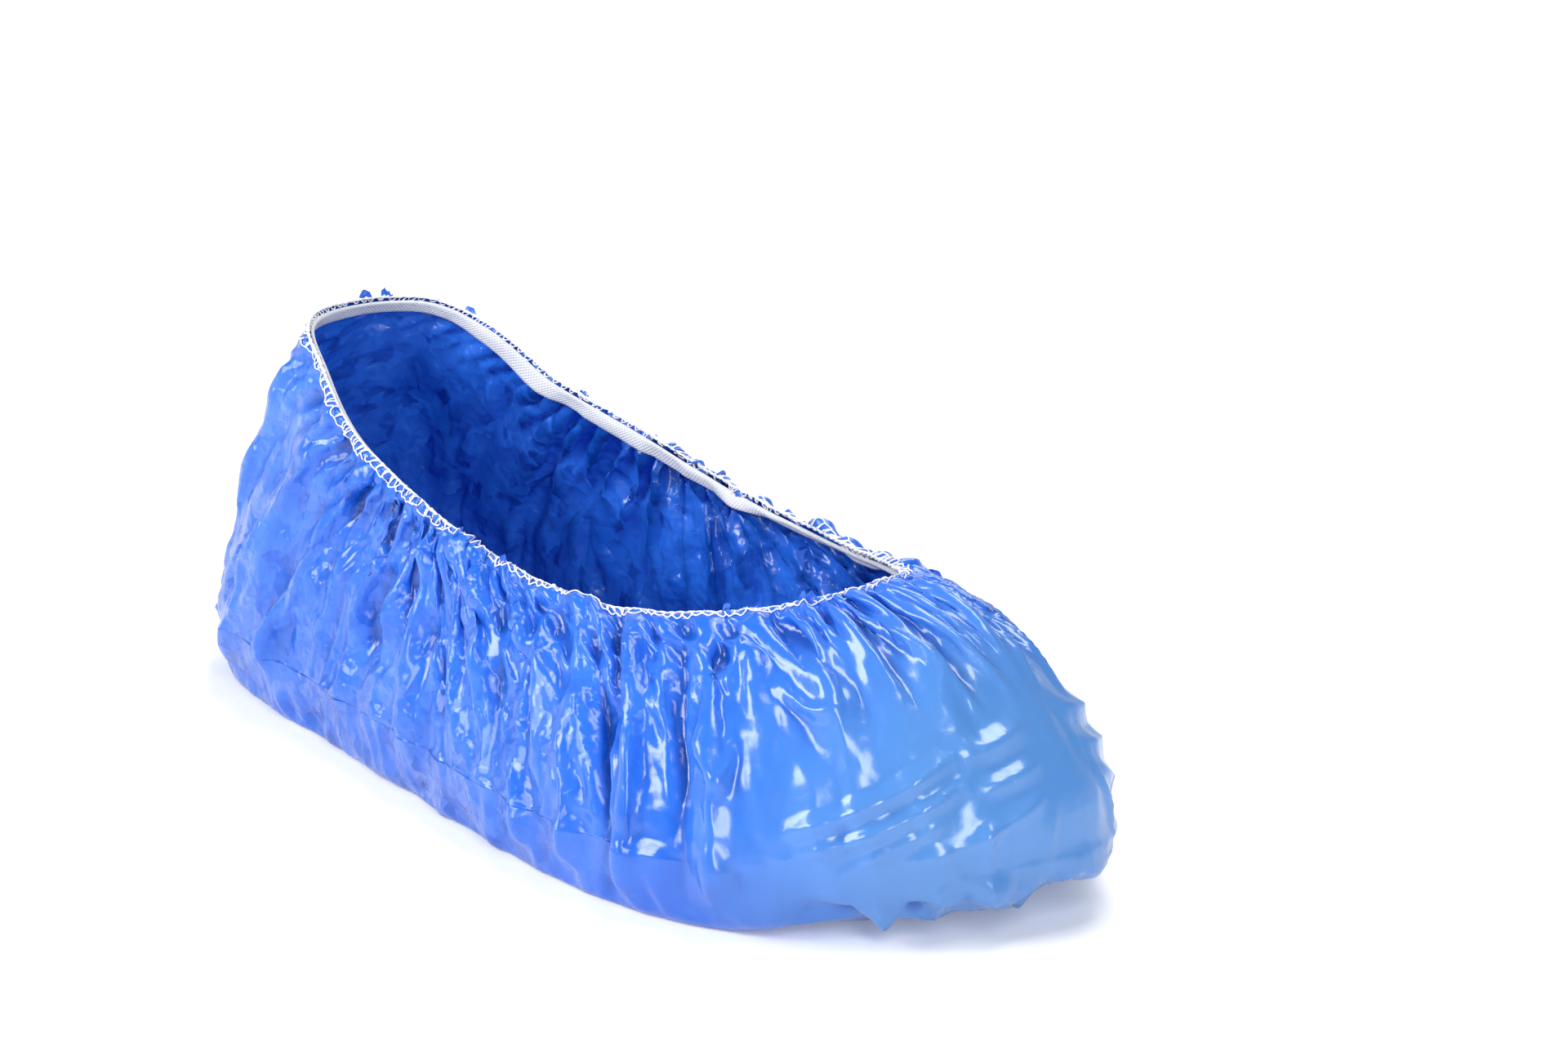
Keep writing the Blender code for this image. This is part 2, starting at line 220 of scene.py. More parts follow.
# Painted shade: darker blue on the lowest part of the film, near the floor
LOW_SHADE_BLUE = (0.0, 0.0, 0.05, 1.0)
LOW_SHADE_ZONE = (0.0, 0.035)
LOW_SHADE_SHARE = 0.22
# Painted shade: dark blue deep in the folds
FOLD_SHADE_BLUE = (0.0, 0.060, 0.380, 1.0)
FOLD_SHADE_ZONE = (-0.0002, -0.0020)
FOLD_SHADE_SHARE = 0.80

# Film: gloss, and the crinkles, which are strong at the heel and fade toward the toe
FILM_ROUGHNESS = (0.16, 0.32)
CRINKLE_SCALES = (70.0, 170.0)
CRINKLE_WARP = 0.010
CRINKLE_ZONE = (0.020, 0.110)
CRINKLE_STRENGTH = (0.50, 0.07)

# Knit of the elastic: pitch of its loops along the strip and across it
KNIT_PITCH = (("X", 0.0011), ("Y", 0.0009))

# Widest line of the cover, heel to toe, as shares of its length and of its two reaches
PLAN_COLUMNS = ("along", "lateral", "medial")
PLAN = (
    (0.015, 0.27, 0.35),
    (0.055, 0.50, 0.62),
    (0.132, 0.63, 0.76),
    (0.271, 0.73, 0.80),
    (0.425, 0.84, 0.82),
    (0.579, 0.96, 0.89),
    (0.690, 1.00, 0.98),
    (0.780, 0.95, 0.98),
    (0.863, 0.80, 0.87),
    (0.931, 0.57, 0.67),
    (0.977, 0.31, 0.46),
)

# Rim, heel to front, as shares of the opening's length and half width, and the weights of
# the three rim heights
RIM_COLUMNS = ("along", "lateral", "medial", "heel", "waist", "front")
RIM = (
    (0.000, 0.00, 0.00, 1.00, 0.00, 0.00),
    (0.013, 0.26, 0.30, 1.00, 0.00, 0.00),
    (0.053, 0.48, 0.54, 0.98, 0.02, 0.00),
    (0.132, 0.68, 0.71, 0.83, 0.17, 0.00),
    (0.229, 0.83, 0.83, 0.53, 0.47, 0.00),
    (0.344, 0.93, 0.93, 0.34, 0.66, 0.00),
    (0.515, 1.00, 0.98, 0.11, 0.89, 0.00),
    (0.727, 0.99, 0.88, 0.00, 0.97, 0.03),
    (0.877, 0.80, 0.61, 0.00, 0.65, 0.35),
    (0.960, 0.47, 0.34, 0.00, 0.31, 0.69),
    (1.000, 0.00, 0.00, 0.00, 0.00, 1.00),
)

# Where ribs that stand evenly round the widest line meet the rim, heel (0) to toe (1)
LEAN_COLUMNS = ("place", "rim_share")
LEAN = (
    (0.00, 0.000),
    (0.05, 0.080),
    (0.12, 0.180),
    (0.20, 0.285),
    (0.30, 0.375),
    (0.40, 0.440),
    (0.50, 0.510),
    (0.58, 0.600),
    (0.66, 0.700),
    (0.72, 0.785),
    (0.78, 0.865),
    (0.84, 0.920),
    (0.92, 0.965),
    (1.00, 1.000),
)
LEAN_EASE = 0.05
LEAN_SAMPLES = 9

# Side wall profile, heel (0) to toe (1). Roundness is 1 for a straight tent and 2 for an
# ellipse; the last column blends the side values of edge height and tuck into the toe's
PROFILE_COLUMNS = ("place", "roundness", "toe_blend")
PROFILE = (
    (0.00, 1.18, 0.12),
    (0.20, 1.15, 0.05),
    (0.45, 1.18, 0.00),
    (0.62, 1.32, 0.05),
    (0.75, 1.62, 0.15),
    (0.86, 1.80, 0.45),
    (0.93, 1.85, 0.80),
    (1.00, 1.85, 1.00),
)

# How strongly the elastic gathers the film, heel (0) to front (1), on each side
GATHER_COLUMNS = ("place", "lateral", "medial", "reach")
GATHER = (
    (0.00, 0.20, 0.20, 0.30),
    (0.15, 0.35, 0.30, 0.40),
    (0.35, 0.45, 0.45, 0.40),
    (0.55, 0.70, 0.60, 0.50),
    (0.70, 1.00, 0.85, 0.70),
    (0.85, 1.00, 1.00, 0.45),
    (1.00, 0.80, 0.80, 0.36),
)

# Long folds. Side is -1 lateral, +1 medial. Place is 0 at the heel and 1 at the toe, width
# is in the same unit, depth a share of FOLD_DEPTH, start and end are shares of the way down,
# and lean is how far the fold drifts toward the toe on its way down
FOLD_COLUMNS = ("side", "place", "width", "depth", "start", "end", "lean")
FOLDS = (
    (-1, 0.08, 0.022, 0.60, 0.05, 0.95, -0.010),
    (-1, 0.16, 0.026, 0.90, 0.00, 0.98, -0.025),
    (-1, 0.23, 0.020, 0.55, 0.10, 0.85, -0.030),
    (-1, 0.31, 0.024, 0.70, 0.00, 0.75, 0.020),
    (-1, 0.40, 0.022, 0.60, 0.15, 0.95, 0.035),
    (-1, 0.48, 0.024, 0.55, 0.00, 0.90, -0.020),
    (-1, 0.56, 0.020, 0.80, 0.00, 1.00, 0.015),
    (-1, 0.63, 0.018, 1.00, 0.00, 1.00, -0.010),
    (-1, 0.69, 0.018, 0.90, 0.00, 1.00, -0.015),
    (-1, 0.76, 0.020, 1.00, 0.00, 0.92, -0.020),
    (-1, 0.84, 0.022, 0.70, 0.00, 0.55, 0.010),
    (-1, 0.93, 0.020, 0.60, 0.00, 0.45, 0.015),
    (1, 0.10, 0.024, 0.70, 0.00, 0.90, -0.015),
    (1, 0.21, 0.024, 0.70, 0.05, 0.90, 0.020),
    (1, 0.34, 0.022, 0.60, 0.00, 0.85, -0.020),
    (1, 0.45, 0.022, 0.70, 0.10, 0.95, 0.020),
    (1, 0.56, 0.020, 0.90, 0.00, 1.00, -0.010),
    (1, 0.66, 0.020, 0.90, 0.00, 0.95, 0.015),
    (1, 0.77, 0.022, 0.80, 0.00, 0.70, 0.010),
    (1, 0.90, 0.022, 0.60, 0.00, 0.45, -0.010),
)

# Tension ridges that run across the toe cap. Height is the share of the way down at the
# lateral end, rise is the change toward the medial end, depth a share of CREASE_DEPTH
CREASE_COLUMNS = ("height", "rise", "width", "depth")
CREASES = (
    (0.52, -0.20, 0.050, 0.8),
    (0.66, -0.28, 0.045, 1.0),
    (0.80, -0.24, 0.045, 0.8),
)
CREASE_ZONE = (0.80, 0.97)

# How firmly the foot form holds the film, heel (0) to toe (1), near the rim and lower down
HOLD_COLUMNS = ("place", "upper", "lower")
HOLD = (
    (0.00, 0.60, 0.70),
    (0.15, 0.45, 0.60),
    (0.30, 0.30, 0.50),
    (0.45, 0.20, 0.40),
    (0.70, 0.22, 0.40),
    (0.80, 0.35, 0.70),
    (0.88, 0.45, 0.95),
    (1.00, 0.50, 0.97),
)
HOLD_CHANGE = (0.30, 0.75)

# Long creases. Place runs from heel (0) to toe (1) and row from the rim (0) to the widest
# line (1) and the foot of the tuck (2), from one end of the crease to the other. Bend is a
# share of its length. Width is half of its own width. Negative heights are valleys
LINE_COLUMNS = ("place", "row", "to_place", "to_row", "bend", "width", "height")
LINES = (
    (0.250, 0.02, 0.185, 1.25, -0.10, 0.0060, 0.0040),
    (0.262, 0.10, 0.205, 0.80, -0.08, 0.0040, -0.0026),
    (0.172, 0.20, 0.128, 0.85, -0.12, 0.0050, 0.0030),
    (0.080, 0.05, 0.100, 0.95, 0.08, 0.0050, 0.0024),
    (0.302, 0.34, 0.272, 0.62, 0.00, 0.0034, 0.0024),
    (0.302, 0.34, 0.296, 0.75, 0.04, 0.0034, 0.0022),
    (0.302, 0.34, 0.350, 0.50, 0.00, 0.0034, 0.0024),
    (0.302, 0.34, 0.335, 0.18, 0.00, 0.0034, 0.0020),
    (0.140, 0.58, 0.160, 0.95, 0.05, 0.0034, 0.0022),
    (0.212, 0.60, 0.216, 1.05, -0.05, 0.0034, 0.0022),
    (0.297, 0.65, 0.300, 1.15, 0.06, 0.0034, 0.0024),
    (0.375, 0.38, 0.366, 0.80, 0.05, 0.0034, 0.0026),
    (0.392, 0.10, 0.418, 0.52, -0.06, 0.0032, 0.0018),
    (0.432, 0.60, 0.416, 1.00, 0.05, 0.0034, 0.0022),
    (0.450, 0.00, 0.478, 1.10, 0.03, 0.0040, -0.0034),
    (0.462, 0.02, 0.494, 0.85, 0.02, 0.0034, 0.0024),
    (0.505, 0.02, 0.512, 0.70, -0.04, 0.0036, 0.0022),
    (0.540, 0.02, 0.536, 0.95, 0.03, 0.0036, -0.0024),
    (0.570, 0.04, 0.573, 0.95, -0.03, 0.0036, 0.0026),
    (0.605, 0.05, 0.588, 0.85, 0.08, 0.0036, 0.0026),
    (0.636, 0.04, 0.664, 1.45, -0.05, 0.0042, -0.0036),
    (0.649, 0.04, 0.676, 1.00, -0.03, 0.0034, 0.0030),
    (0.672, 0.10, 0.667, 1.30, 0.05, 0.0042, -0.0040),
    (0.684, 0.05, 0.684, 0.95, -0.04, 0.0036, 0.0032),
    (0.702, 0.06, 0.716, 0.95, -0.10, 0.0038, -0.0030),
    (0.717, 0.05, 0.722, 0.80, 0.05, 0.0036, 0.0030),
    (0.733, 0.05, 0.724, 1.40, 0.03, 0.0042, -0.0040),
    (0.745, 0.05, 0.748, 0.62, -0.04, 0.0040, 0.0032),
    (0.773, 0.12, 0.740, 0.56, 0.08, 0.0040, -0.0030),
    (0.801, 0.05, 0.764, 0.42, 0.06, 0.0040, 0.0030),
    (0.743, 0.56, 0.755, 0.72, 0.00, 0.0026, 0.0018),
    (0.755, 0.72, 0.767, 0.60, 0.00, 0.0026, 0.0018),
    (0.815, 0.08, 0.850, 0.38, 0.10, 0.0044, -0.0032),
    (0.805, 0.36, 0.850, 0.49, 0.45, 0.0030, 0.0022),
    (0.868, 0.10, 0.897, 0.45, 0.05, 0.0034, 0.0024),
    (0.884, 0.06, 0.915, 0.36, 0.03, 0.0034, -0.0020),
    (0.902, 0.14, 0.953, 0.56, -0.08, 0.0036, 0.0024),
    (0.922, 0.02, 0.950, 0.42, -0.05, 0.0036, -0.0018),
    (0.943, 0.10, 0.990, 0.52, -0.06, 0.0036, 0.0022),
    (0.980, 0.04, 1.000, 0.40, 0.04, 0.0036, 0.0020),
    (0.790, 0.84, 0.925, 0.63, 0.06, 0.0044, 0.0034),
    (0.795, 0.92, 0.932, 0.69, 0.06, 0.0040, 0.0028),
    (0.920, 0.65, 0.982, 0.59, 0.10, 0.0046, 0.0024),
    (0.925, 0.75, 0.980, 0.70, 0.06, 0.0042, 0.0024),
    (0.865, 0.94, 0.978, 0.78, 0.08, 0.0040, 0.0022),
    (0.840, 0.93, 0.905, 0.80, 0.05, 0.0030, 0.0014),
    (0.820, 1.02, 0.860, 0.90, 0.05, 0.0030, 0.0012),
    (0.930, 0.84, 0.930, 1.02, 0.20, 0.0028, 0.0016),
    (0.983, 0.79, 0.968, 1.05, 0.10, 0.0028, 0.0014),
    (0.905, 0.90, 0.915, 1.05, 0.00, 0.0026, -0.0014),
)
LINE_SHARPNESS = 1.25
LINE_STEPS = 9
LINE_END = 0.02
LINE_FADE = 0.6
MEDIAL_SHIFT = 0.012

# Lengths of the film from heel to toe and from the rim to the widest line, for the creases
PLACE_SPAN = 0.36
ROW_SPAN = 0.085
TUCK_SPAN = 0.022

# Facets of crumpled film: how many round the cover, their height, depth and unevenness
FACET_COLUMNS = ("count", "pitch", "depth", "warp")
FACETS = (
    (58, 0.0270, 0.0027, 0.30),
    (110, 0.0150, 0.0019, 0.25),
    (206, 0.0080, 0.00095, 0.20),
)
WARP_WAVES = (3, 7, 12, 19)
WARP_DRIFT = 4.0
LATTICE_START = 4.0

# Rows over which the creases come in and fade out, and where the widest line eases them
CREASE_START = (0.0, 0.12)
CREASE_END = (1.5, 2.0)
EDGE_START = (0.62, 0.95)
EDGE_END = (1.2, 1.5)
EDGE_EASE = 0.7

# The film follows the foot form fully between these rows, at its widest line
FIRM_EDGE = (0.86, 1.00)
FIRM_SLIDE = (0.45, 0.90)

# Folds grow wider between these distances below the rim
WIDE_FOLDS = (0.008, 0.035)
WIDE_TURNS = 7

# How many times the normals and the film round a point are evened out
NORMAL_TURNS = 14
DEPTH_TURNS = 40

# Crumpled film under the toe, the places and rows it covers, and the points that stick out
CRUMPLES = (
    (74, 0.0110, 0.0036, 0.40),
    (150, 0.0060, 0.0014, 0.30),
)
CRUMPLE_PLACES = (0.76, 0.88)
CRUMPLE_START = (0.90, 1.25)
CRUMPLE_END = (1.80, 2.0)
POINT_SHARPNESS = 1.2
POINT_COLUMNS = ("side", "place", "row", "width", "height")
POINTS = (
    (-1, 0.858, 1.60, 0.0080, 0.0042),
    (-1, 0.930, 1.25, 0.0070, 0.0034),
    (1, 0.900, 1.50, 0.0080, 0.0036),
)

# How creased the film is, heel (0) to toe (1)
CREASED_COLUMNS = ("place", "creased")
CREASED = (
    (0.00, 0.45),
    (0.10, 0.75),
    (0.25, 1.00),
    (0.60, 0.85),
    (0.80, 0.55),
    (0.90, 0.30),
    (1.00, 0.22),
)

# Section of the elastic strip, as shares of its height and of its thickness
STRIP_COLUMNS = ("down", "in")
STRIP_SECTION = (
    (0.12, 0.0),
    (0.35, 0.0),
    (0.60, 0.0),
    (0.85, 0.0),
    (1.00, 0.0),
    (1.06, 0.5),
    (1.00, 1.0),
    (0.85, 1.1),
    (0.60, 1.1),
    (0.35, 1.1),
    (0.12, 1.0),
    (0.06, 0.5),
)

# Torn bits of film that stand above the stitches: they start SNIP_ROOT below the rim, get
# narrower by SNIP_TAPER, lean along the rim and curl outward, unevenly
SNIP_COLUMNS = ("side", "share", "height", "width", "turn")
SNIP_ROOT = 0.0015
SNIP_POINTS = 5
SNIP_TAPER = 0.55
SNIP_LEAN = 0.0012
SNIP_OUT = 0.0003
SNIP_CURL = 0.0009
SNIP_CURL_JITTER = 0.00025
SNIP_TOP_JITTER = 0.0002
SNIPS = (
    (-1, 0.120, 0.0014, 0.0034, 20.0),
    (1, 0.030, 0.0013, 0.0052, -15.0),
    (1, 0.055, 0.0010, 0.0042, 35.0),
    (1, 0.150, 0.0013, 0.0048, 10.0),
    (1, 0.230, 0.0013, 0.0044, -30.0),
    (1, 0.262, 0.0014, 0.0048, 25.0),
    (1, 0.310, 0.0010, 0.0040, -10.0),
    (-1, 0.560, 0.0009, 0.0028, 15.0),
    (-1, 0.930, 0.0019, 0.0046, -25.0),
    (-1, 0.850, 0.0009, 0.0030, 30.0),
)


def column(table, names, name):
    """One named column of a table, as an array."""
    return np.array([row[names.index(name)] for row in table], float)


def named_rows(table, names):
    """Each row of a table with its columns by name."""
    return [dict(zip(names, row)) for row in table]


def smooth(value, low, high):
    """0 below low, 1 above high, eased between."""
    share = np.clip((value - low) / (high - low), 0.0, 1.0)
    return share * share * (3.0 - 2.0 * share)


def closed_curve(points):
    """Centripetal Catmull-Rom curve through a closed ring of points."""
    count = len(points)
    share = np.linspace(0.0, 1.0, SPAN_SAMPLES, endpoint=False)[:, None]
    spans = []
    for i in range(count):
        a, b, c, d = (points[(i + k) % count] for k in (-1, 0, 1, 2))
        t1 = np.linalg.norm(b - a) ** 0.5
        t2 = t1 + np.linalg.norm(c - b) ** 0.5
        t3 = t2 + np.linalg.norm(d - c) ** 0.5
        t = t1 + (t2 - t1) * share
        ab = a + (b - a) * t / t1
        bc = b + (c - b) * (t - t1) / (t2 - t1)
        cd = c + (d - c) * (t - t2) / (t3 - t2)
        left = ab + (bc - ab) * t / t2
        right = bc + (cd - bc) * (t - t1) / (t3 - t1)
        spans.append(left + (right - left) * (t - t1) / (t2 - t1))
    return np.vstack(spans)


def by_length(half, shares):
    """Points of an open run of samples at shares of its length."""
    steps = np.linalg.norm(np.diff(half, axis=0), axis=1)
    length = np.concatenate([[0.0], np.cumsum(steps)])
    wanted = shares * length[-1]
    return np.column_stack([np.interp(wanted, length, half[:, k]) for k in range(half.shape[1])])


def ring_at(points, toe_index, place, side):
    """Ring points at a place from heel (0) to toe (1), on the side of each rib."""
    curve = closed_curve(points)
    split = toe_index * SPAN_SAMPLES
    lateral = curve[: split + 1]
    medial = np.vstack([curve[split:], curve[:1]])[::-1]
    on_lateral = by_length(lateral, place)
    on_medial = by_length(medial, place)
    return np.where(side[:, None] < 0, on_lateral, on_medial)


def plan_points():
    """Widest line: heel point, lateral stations, toe tip, medial stations."""
    along = column(PLAN, PLAN_COLUMNS, "along") * COVER_LENGTH
    lateral = -column(PLAN, PLAN_COLUMNS, "lateral") * LATERAL_REACH
    medial = column(PLAN, PLAN_COLUMNS, "medial") * MEDIAL_REACH
    near = np.column_stack([along, lateral])
    far = np.column_stack([along, medial])[::-1]
    heel = np.array([[0.0, 0.0]])
    tip = np.array([[COVER_LENGTH, TOE_TIP_OFFSET]])
    return np.vstack([heel, near, tip, far]), len(near) + 1


def rim_points():
    """Edge of the opening, in the same order as the widest line."""
    x = OPENING_SETBACK + column(RIM, RIM_COLUMNS, "along") * OPENING_LENGTH
    near = -column(RIM, RIM_COLUMNS, "lateral") * OPENING_WIDTH / 2
    far = column(RIM, RIM_COLUMNS, "medial") * OPENING_WIDTH / 2
    z = (
        column(RIM, RIM_COLUMNS, "heel") * HEEL_RIM_HEIGHT
        + column(RIM, RIM_COLUMNS, "waist") * WAIST_RIM_HEIGHT
        + column(RIM, RIM_COLUMNS, "front") * FRONT_RIM_HEIGHT
    )
    lateral = np.column_stack([x, near, z])
    medial = np.column_stack([x, far, z])[-2:0:-1]
    return np.vstack([lateral, medial]), len(lateral) - 1


def rib_places(count):
    """Place (heel 0, toe 1) and side (-1 lateral, +1 medial) of each rib, once round."""
    turn = np.arange(count) / count * 2.0
    place = np.where(turn <= 1.0, turn, 2.0 - turn)
    side = np.where(turn <= 1.0, -1.0, 1.0)
    return place, side


def rim_share(place):
    """Share of the rim's length at which each rib starts."""
    stations = column(LEAN, LEAN_COLUMNS, "place")
    shares = column(LEAN, LEAN_COLUMNS, "rim_share")
    stations = np.concatenate([-stations[:0:-1], stations, 2.0 - stations[-2::-1]])
    shares = np.concatenate([-shares[:0:-1], shares, 2.0 - shares[-2::-1]])
    steps = np.linspace(-LEAN_EASE, LEAN_EASE, LEAN_SAMPLES)
    return np.mean([np.interp(place + step, stations, shares) for step in steps], axis=0)


def mirrored(ring):
    """The same ring of ribs in reverse, so that each rib meets its opposite one."""
    return np.roll(ring[::-1], 1, axis=0)


def base_surface(place, side, rows):
    """Unfolded cover. Rows: 0..1 wall, 1..2 tuck under it, 2..3 sole edge, 3..4 sole middle."""
    edge = ring_at(*plan_points(), place, side)
    rim = ring_at(*rim_points(), rim_share(place), side)
    stations = column(PROFILE, PROFILE_COLUMNS, "place")
    roundness = np.interp(place, stations, column(PROFILE, PROFILE_COLUMNS, "roundness"))
    blend = np.interp(place, stations, column(PROFILE, PROFILE_COLUMNS, "toe_blend"))
    edge_z = EDGE_HEIGHT + (TOE_EDGE_HEIGHT - EDGE_HEIGHT) * blend
    tuck = SIDE_TUCK + (TOE_TUCK - SIDE_TUCK) * blend

    tangent = np.roll(edge, -1, axis=0) - np.roll(edge, 1, axis=0)
    outward = np.column_stack([tangent[:, 1], -tangent[:, 0]])
    outward /= np.linalg.norm(outward, axis=1)[:, None]
    outward *= np.sign(np.sum(outward * (edge - edge.mean(axis=0)), axis=1))[:, None]
    foot = edge - outward * tuck[:, None]
    lift = TOE_SPRING * smooth(foot[:, 0], LIFT_FROM * COVER_LENGTH, LIFT_TO * COVER_LENGTH)
    spine_x = np.clip(foot[:, 0], SPINE_FROM * COVER_LENGTH, SPINE_TO * COVER_LENGTH)
    spine = np.column_stack([spine_x, np.zeros(len(foot))])
    flat = spine + (foot - spine) * SOLE_SHRINK
    shared = (spine + mirrored(spine)) / 2

    surface = np.zeros((len(rows), len(place), 3))
    for i, row in enumerate(rows):
        if row <= 1.0:
            angle = row * np.pi / 2
            across = np.sin(angle) ** (2.0 / roundness)
            down = max(np.cos(angle), 0.0) ** (2.0 / roundness)
            surface[i, :, :2] = rim[:, :2] + (edge - rim[:, :2]) * across[:, None]
            surface[i, :, 2] = edge_z + (rim[:, 2] - edge_z) * down
        elif row <= 2.0:
            angle = (row - 1.0) * np.pi / 2
            surface[i, :, :2] = edge + (foot - edge) * (1.0 - np.cos(angle))
            surface[i, :, 2] = lift + (edge_z - lift) * (1.0 - np.sin(angle))
        elif row <= 3.0:
            surface[i, :, :2] = foot + (flat - foot) * (row - 2.0)
            surface[i, :, 2] = lift * (3.0 - row) ** 2
        else:
            surface[i, :, :2] = flat + (shared - flat) * (row - 3.0)
    return surface


def normals(surface):
    """Outward unit normals of a grid that closes round its ribs."""
    along = np.roll(surface, -1, axis=1) - np.roll(surface, 1, axis=1)
    down = np.gradient(surface, axis=0)
    normal = np.cross(down, along)
    length = np.linalg.norm(normal, axis=2)[:, :, None]
    return normal / np.maximum(length, 1e-12)


def fold_heights(place, side, rows):
    """How far folds, gathers and creases stand out from the unfolded cover."""
    down = rows[:, None] / FOLD_ROWS
    at = place[None, :]
    on = side[None, :]
    height = np.zeros((len(rows), len(place)))
    for fold in named_rows(FOLDS, FOLD_COLUMNS):
        offset = (at - fold["place"] - fold["lean"] * down) / fold["width"]
        ridge = np.clip(1.0 - np.abs(offset), 0.0, 1.0) ** FOLD_SHARPNESS
        opening = smooth(down, fold["start"] - FOLD_EASE_IN, fold["start"] + FOLD_EASE_IN)
        closing = 1.0 - smooth(down, fold["end"] - FOLD_EASE_OUT, fold["end"])
        height += FOLD_DEPTH * fold["depth"] * ridge * opening * closing * (on == fold["side"])

    stations = column(GATHER, GATHER_COLUMNS, "place")
    lateral = np.interp(at, stations, column(GATHER, GATHER_COLUMNS, "lateral"))
    medial = np.interp(at, stations, column(GATHER, GATHER_COLUMNS, "medial"))
    strength = np.where(on < 0, lateral, medial)
    reach = np.interp(at, stations, column(GATHER, GATHER_COLUMNS, "reach"))
    wander = GATHER_WANDER * np.sin(WANDER_WAVES * at + on)
    wave = 0.5 - 0.5 * np.cos(2.0 * np.pi * GATHERS_PER_SIDE * (at + wander))
    height += GATHER_DEPTH * strength * wave * (1.0 - smooth(down, GATHER_FULL * reach, reach))

    across = (1.0 - at) * on
    zone = smooth(at, *CREASE_ZONE)
    for crease in named_rows(CREASES, CREASE_COLUMNS):
        offset = (down - crease["height"] - crease["rise"] * across) / crease["width"]
        height += CREASE_DEPTH * crease["depth"] * zone * np.exp(-offset * offset)
    fade = smooth(rows, *RIM_FADE) * (1.0 - smooth(rows, *FOLD_FADE))
    return height * fade[:, None]


def grid_faces(rows, ribs):
    """Quads of a grid that closes round its ribs, facing outward."""
    faces = []
    for i in range(rows - 1):
        for j in range(ribs):
            k = (j + 1) % ribs
            faces.append((i * ribs + j, (i + 1) * ribs + j, (i + 1) * ribs + k, i * ribs + k))
    return faces


def mesh_object(name, vertices, faces):
    """A new object from vertices and faces."""
    mesh = bpy.data.meshes.new(name)
    mesh.from_pydata(np.asarray(vertices).reshape(-1, 3).tolist(), [], faces)
    mesh.update()
    piece = bpy.data.objects.new(name, mesh)
    bpy.context.scene.collection.objects.link(piece)
    return piece


def film_rows():
    """Row values down the wall and round the tuck."""
    wall = np.linspace(0.0, 1.0, WALL_ROWS + 1)
    tuck = 1.0 + np.linspace(0.0, 1.0, TUCK_ROWS + 1)[1:]
    return np.concatenate([wall, tuck])


def bag_shape(surface):
    """The film as it was cut: upright walls above the widest line."""
    cut = surface.copy()
    drop = np.linalg.norm(np.diff(surface[: WALL_ROWS + 1], axis=0), axis=2)
    height = np.vstack([drop[::-1].cumsum(axis=0)[::-1], np.zeros((1, surface.shape[1]))])
    cut[: WALL_ROWS + 1] = surface[WALL_ROWS]
    cut[: WALL_ROWS + 1, :, 2] += height * CUT_SLACK
    return cut


def wobble(surface, rows):
    """Small smooth unevenness that decides where the film buckles."""
    random = np.random.default_rng(7)
    turn = np.arange(surface.shape[1]) / surface.shape[1] * 2.0 * np.pi
    height = np.zeros(surface.shape[:2])
    for wave in range(*WOBBLE_WAVES):
        phase = random.uniform(0.0, 2.0 * np.pi)
        drift = random.normal() * WOBBLE_DRIFT
        height += random.normal() * np.cos(wave * turn[None, :] + phase + drift * rows[:, None])
    height *= WOBBLE_DEPTH / height.std()
    fade = smooth(rows, *WOBBLE_START) * (1.0 - smooth(rows, *WOBBLE_END))
    return height * fade[:, None]


def hold_film(film, place, rows):
    """Pins for the rim and the sole, and a weaker hold by the foot form between them."""
    group = film.vertex_groups.new(name="held")
    stations = column(HOLD, HOLD_COLUMNS, "place")
    upper = np.interp(place, stations, column(HOLD, HOLD_COLUMNS, "upper"))
    lower = np.interp(place, stations, column(HOLD, HOLD_COLUMNS, "lower"))
    blend = smooth(rows, *HOLD_CHANGE)[:, None]
    firm = upper[None, :] * (1.0 - blend) + lower[None, :] * blend
    firm[0] = 1.0
    firm[-2:] = 1.0
    for index, weight in enumerate(np.round(firm.ravel(), 2)):
        group.add([index], float(weight), "REPLACE")
    return group


def simulate(surface, worn, place, rows):
    """Draw the rim of the upright bag in to its worn shape and let the film buckle."""
    start = bag_shape(surface) + normals(surface) * wobble(surface, rows)[:, :, None]
    film = mesh_object("film_cut", start * SIM_SCALE, grid_faces(*surface.shape[:2]))
    film.shape_key_add(name="Basis")
    key = film.shape_key_add(name="worn")
    key.data.foreach_set("co", (worn * SIM_SCALE).ravel())
    group = hold_film(film, place, rows)
    for frame_number in range(1, GATHER_FRAMES + 2):
        share = (frame_number - 1) / GATHER_FRAMES
        key.value = share * share * (3.0 - 2.0 * share)
        key.keyframe_insert("value", frame=frame_number)

    cloth = film.modifiers.new("Cloth", "CLOTH")
    cloth.settings.vertex_group_mass = group.name
    for name, value in CLOTH.items():
        setattr(cloth.settings, name, value)
    cloth.settings.effector_weights.gravity = 0.0
    cloth.collision_settings.use_collision = False
    last = GATHER_FRAMES + SETTLE_FRAMES
    cloth.point_cache.frame_start = 1
    cloth.point_cache.frame_end = last
    scene = bpy.context.scene
    for frame_number in range(1, last + 1):
        scene.frame_set(frame_number)
    graph = bpy.context.evaluated_depsgraph_get()
    shape = film.evaluated_get(graph).to_mesh()
    relaxed = np.empty(len(shape.vertices) * 3)
    shape.vertices.foreach_get("co", relaxed)
    bpy.data.objects.remove(film, do_unlink=True)
    scene.frame_set(1)
    return relaxed.reshape(surface.shape) / SIM_SCALE


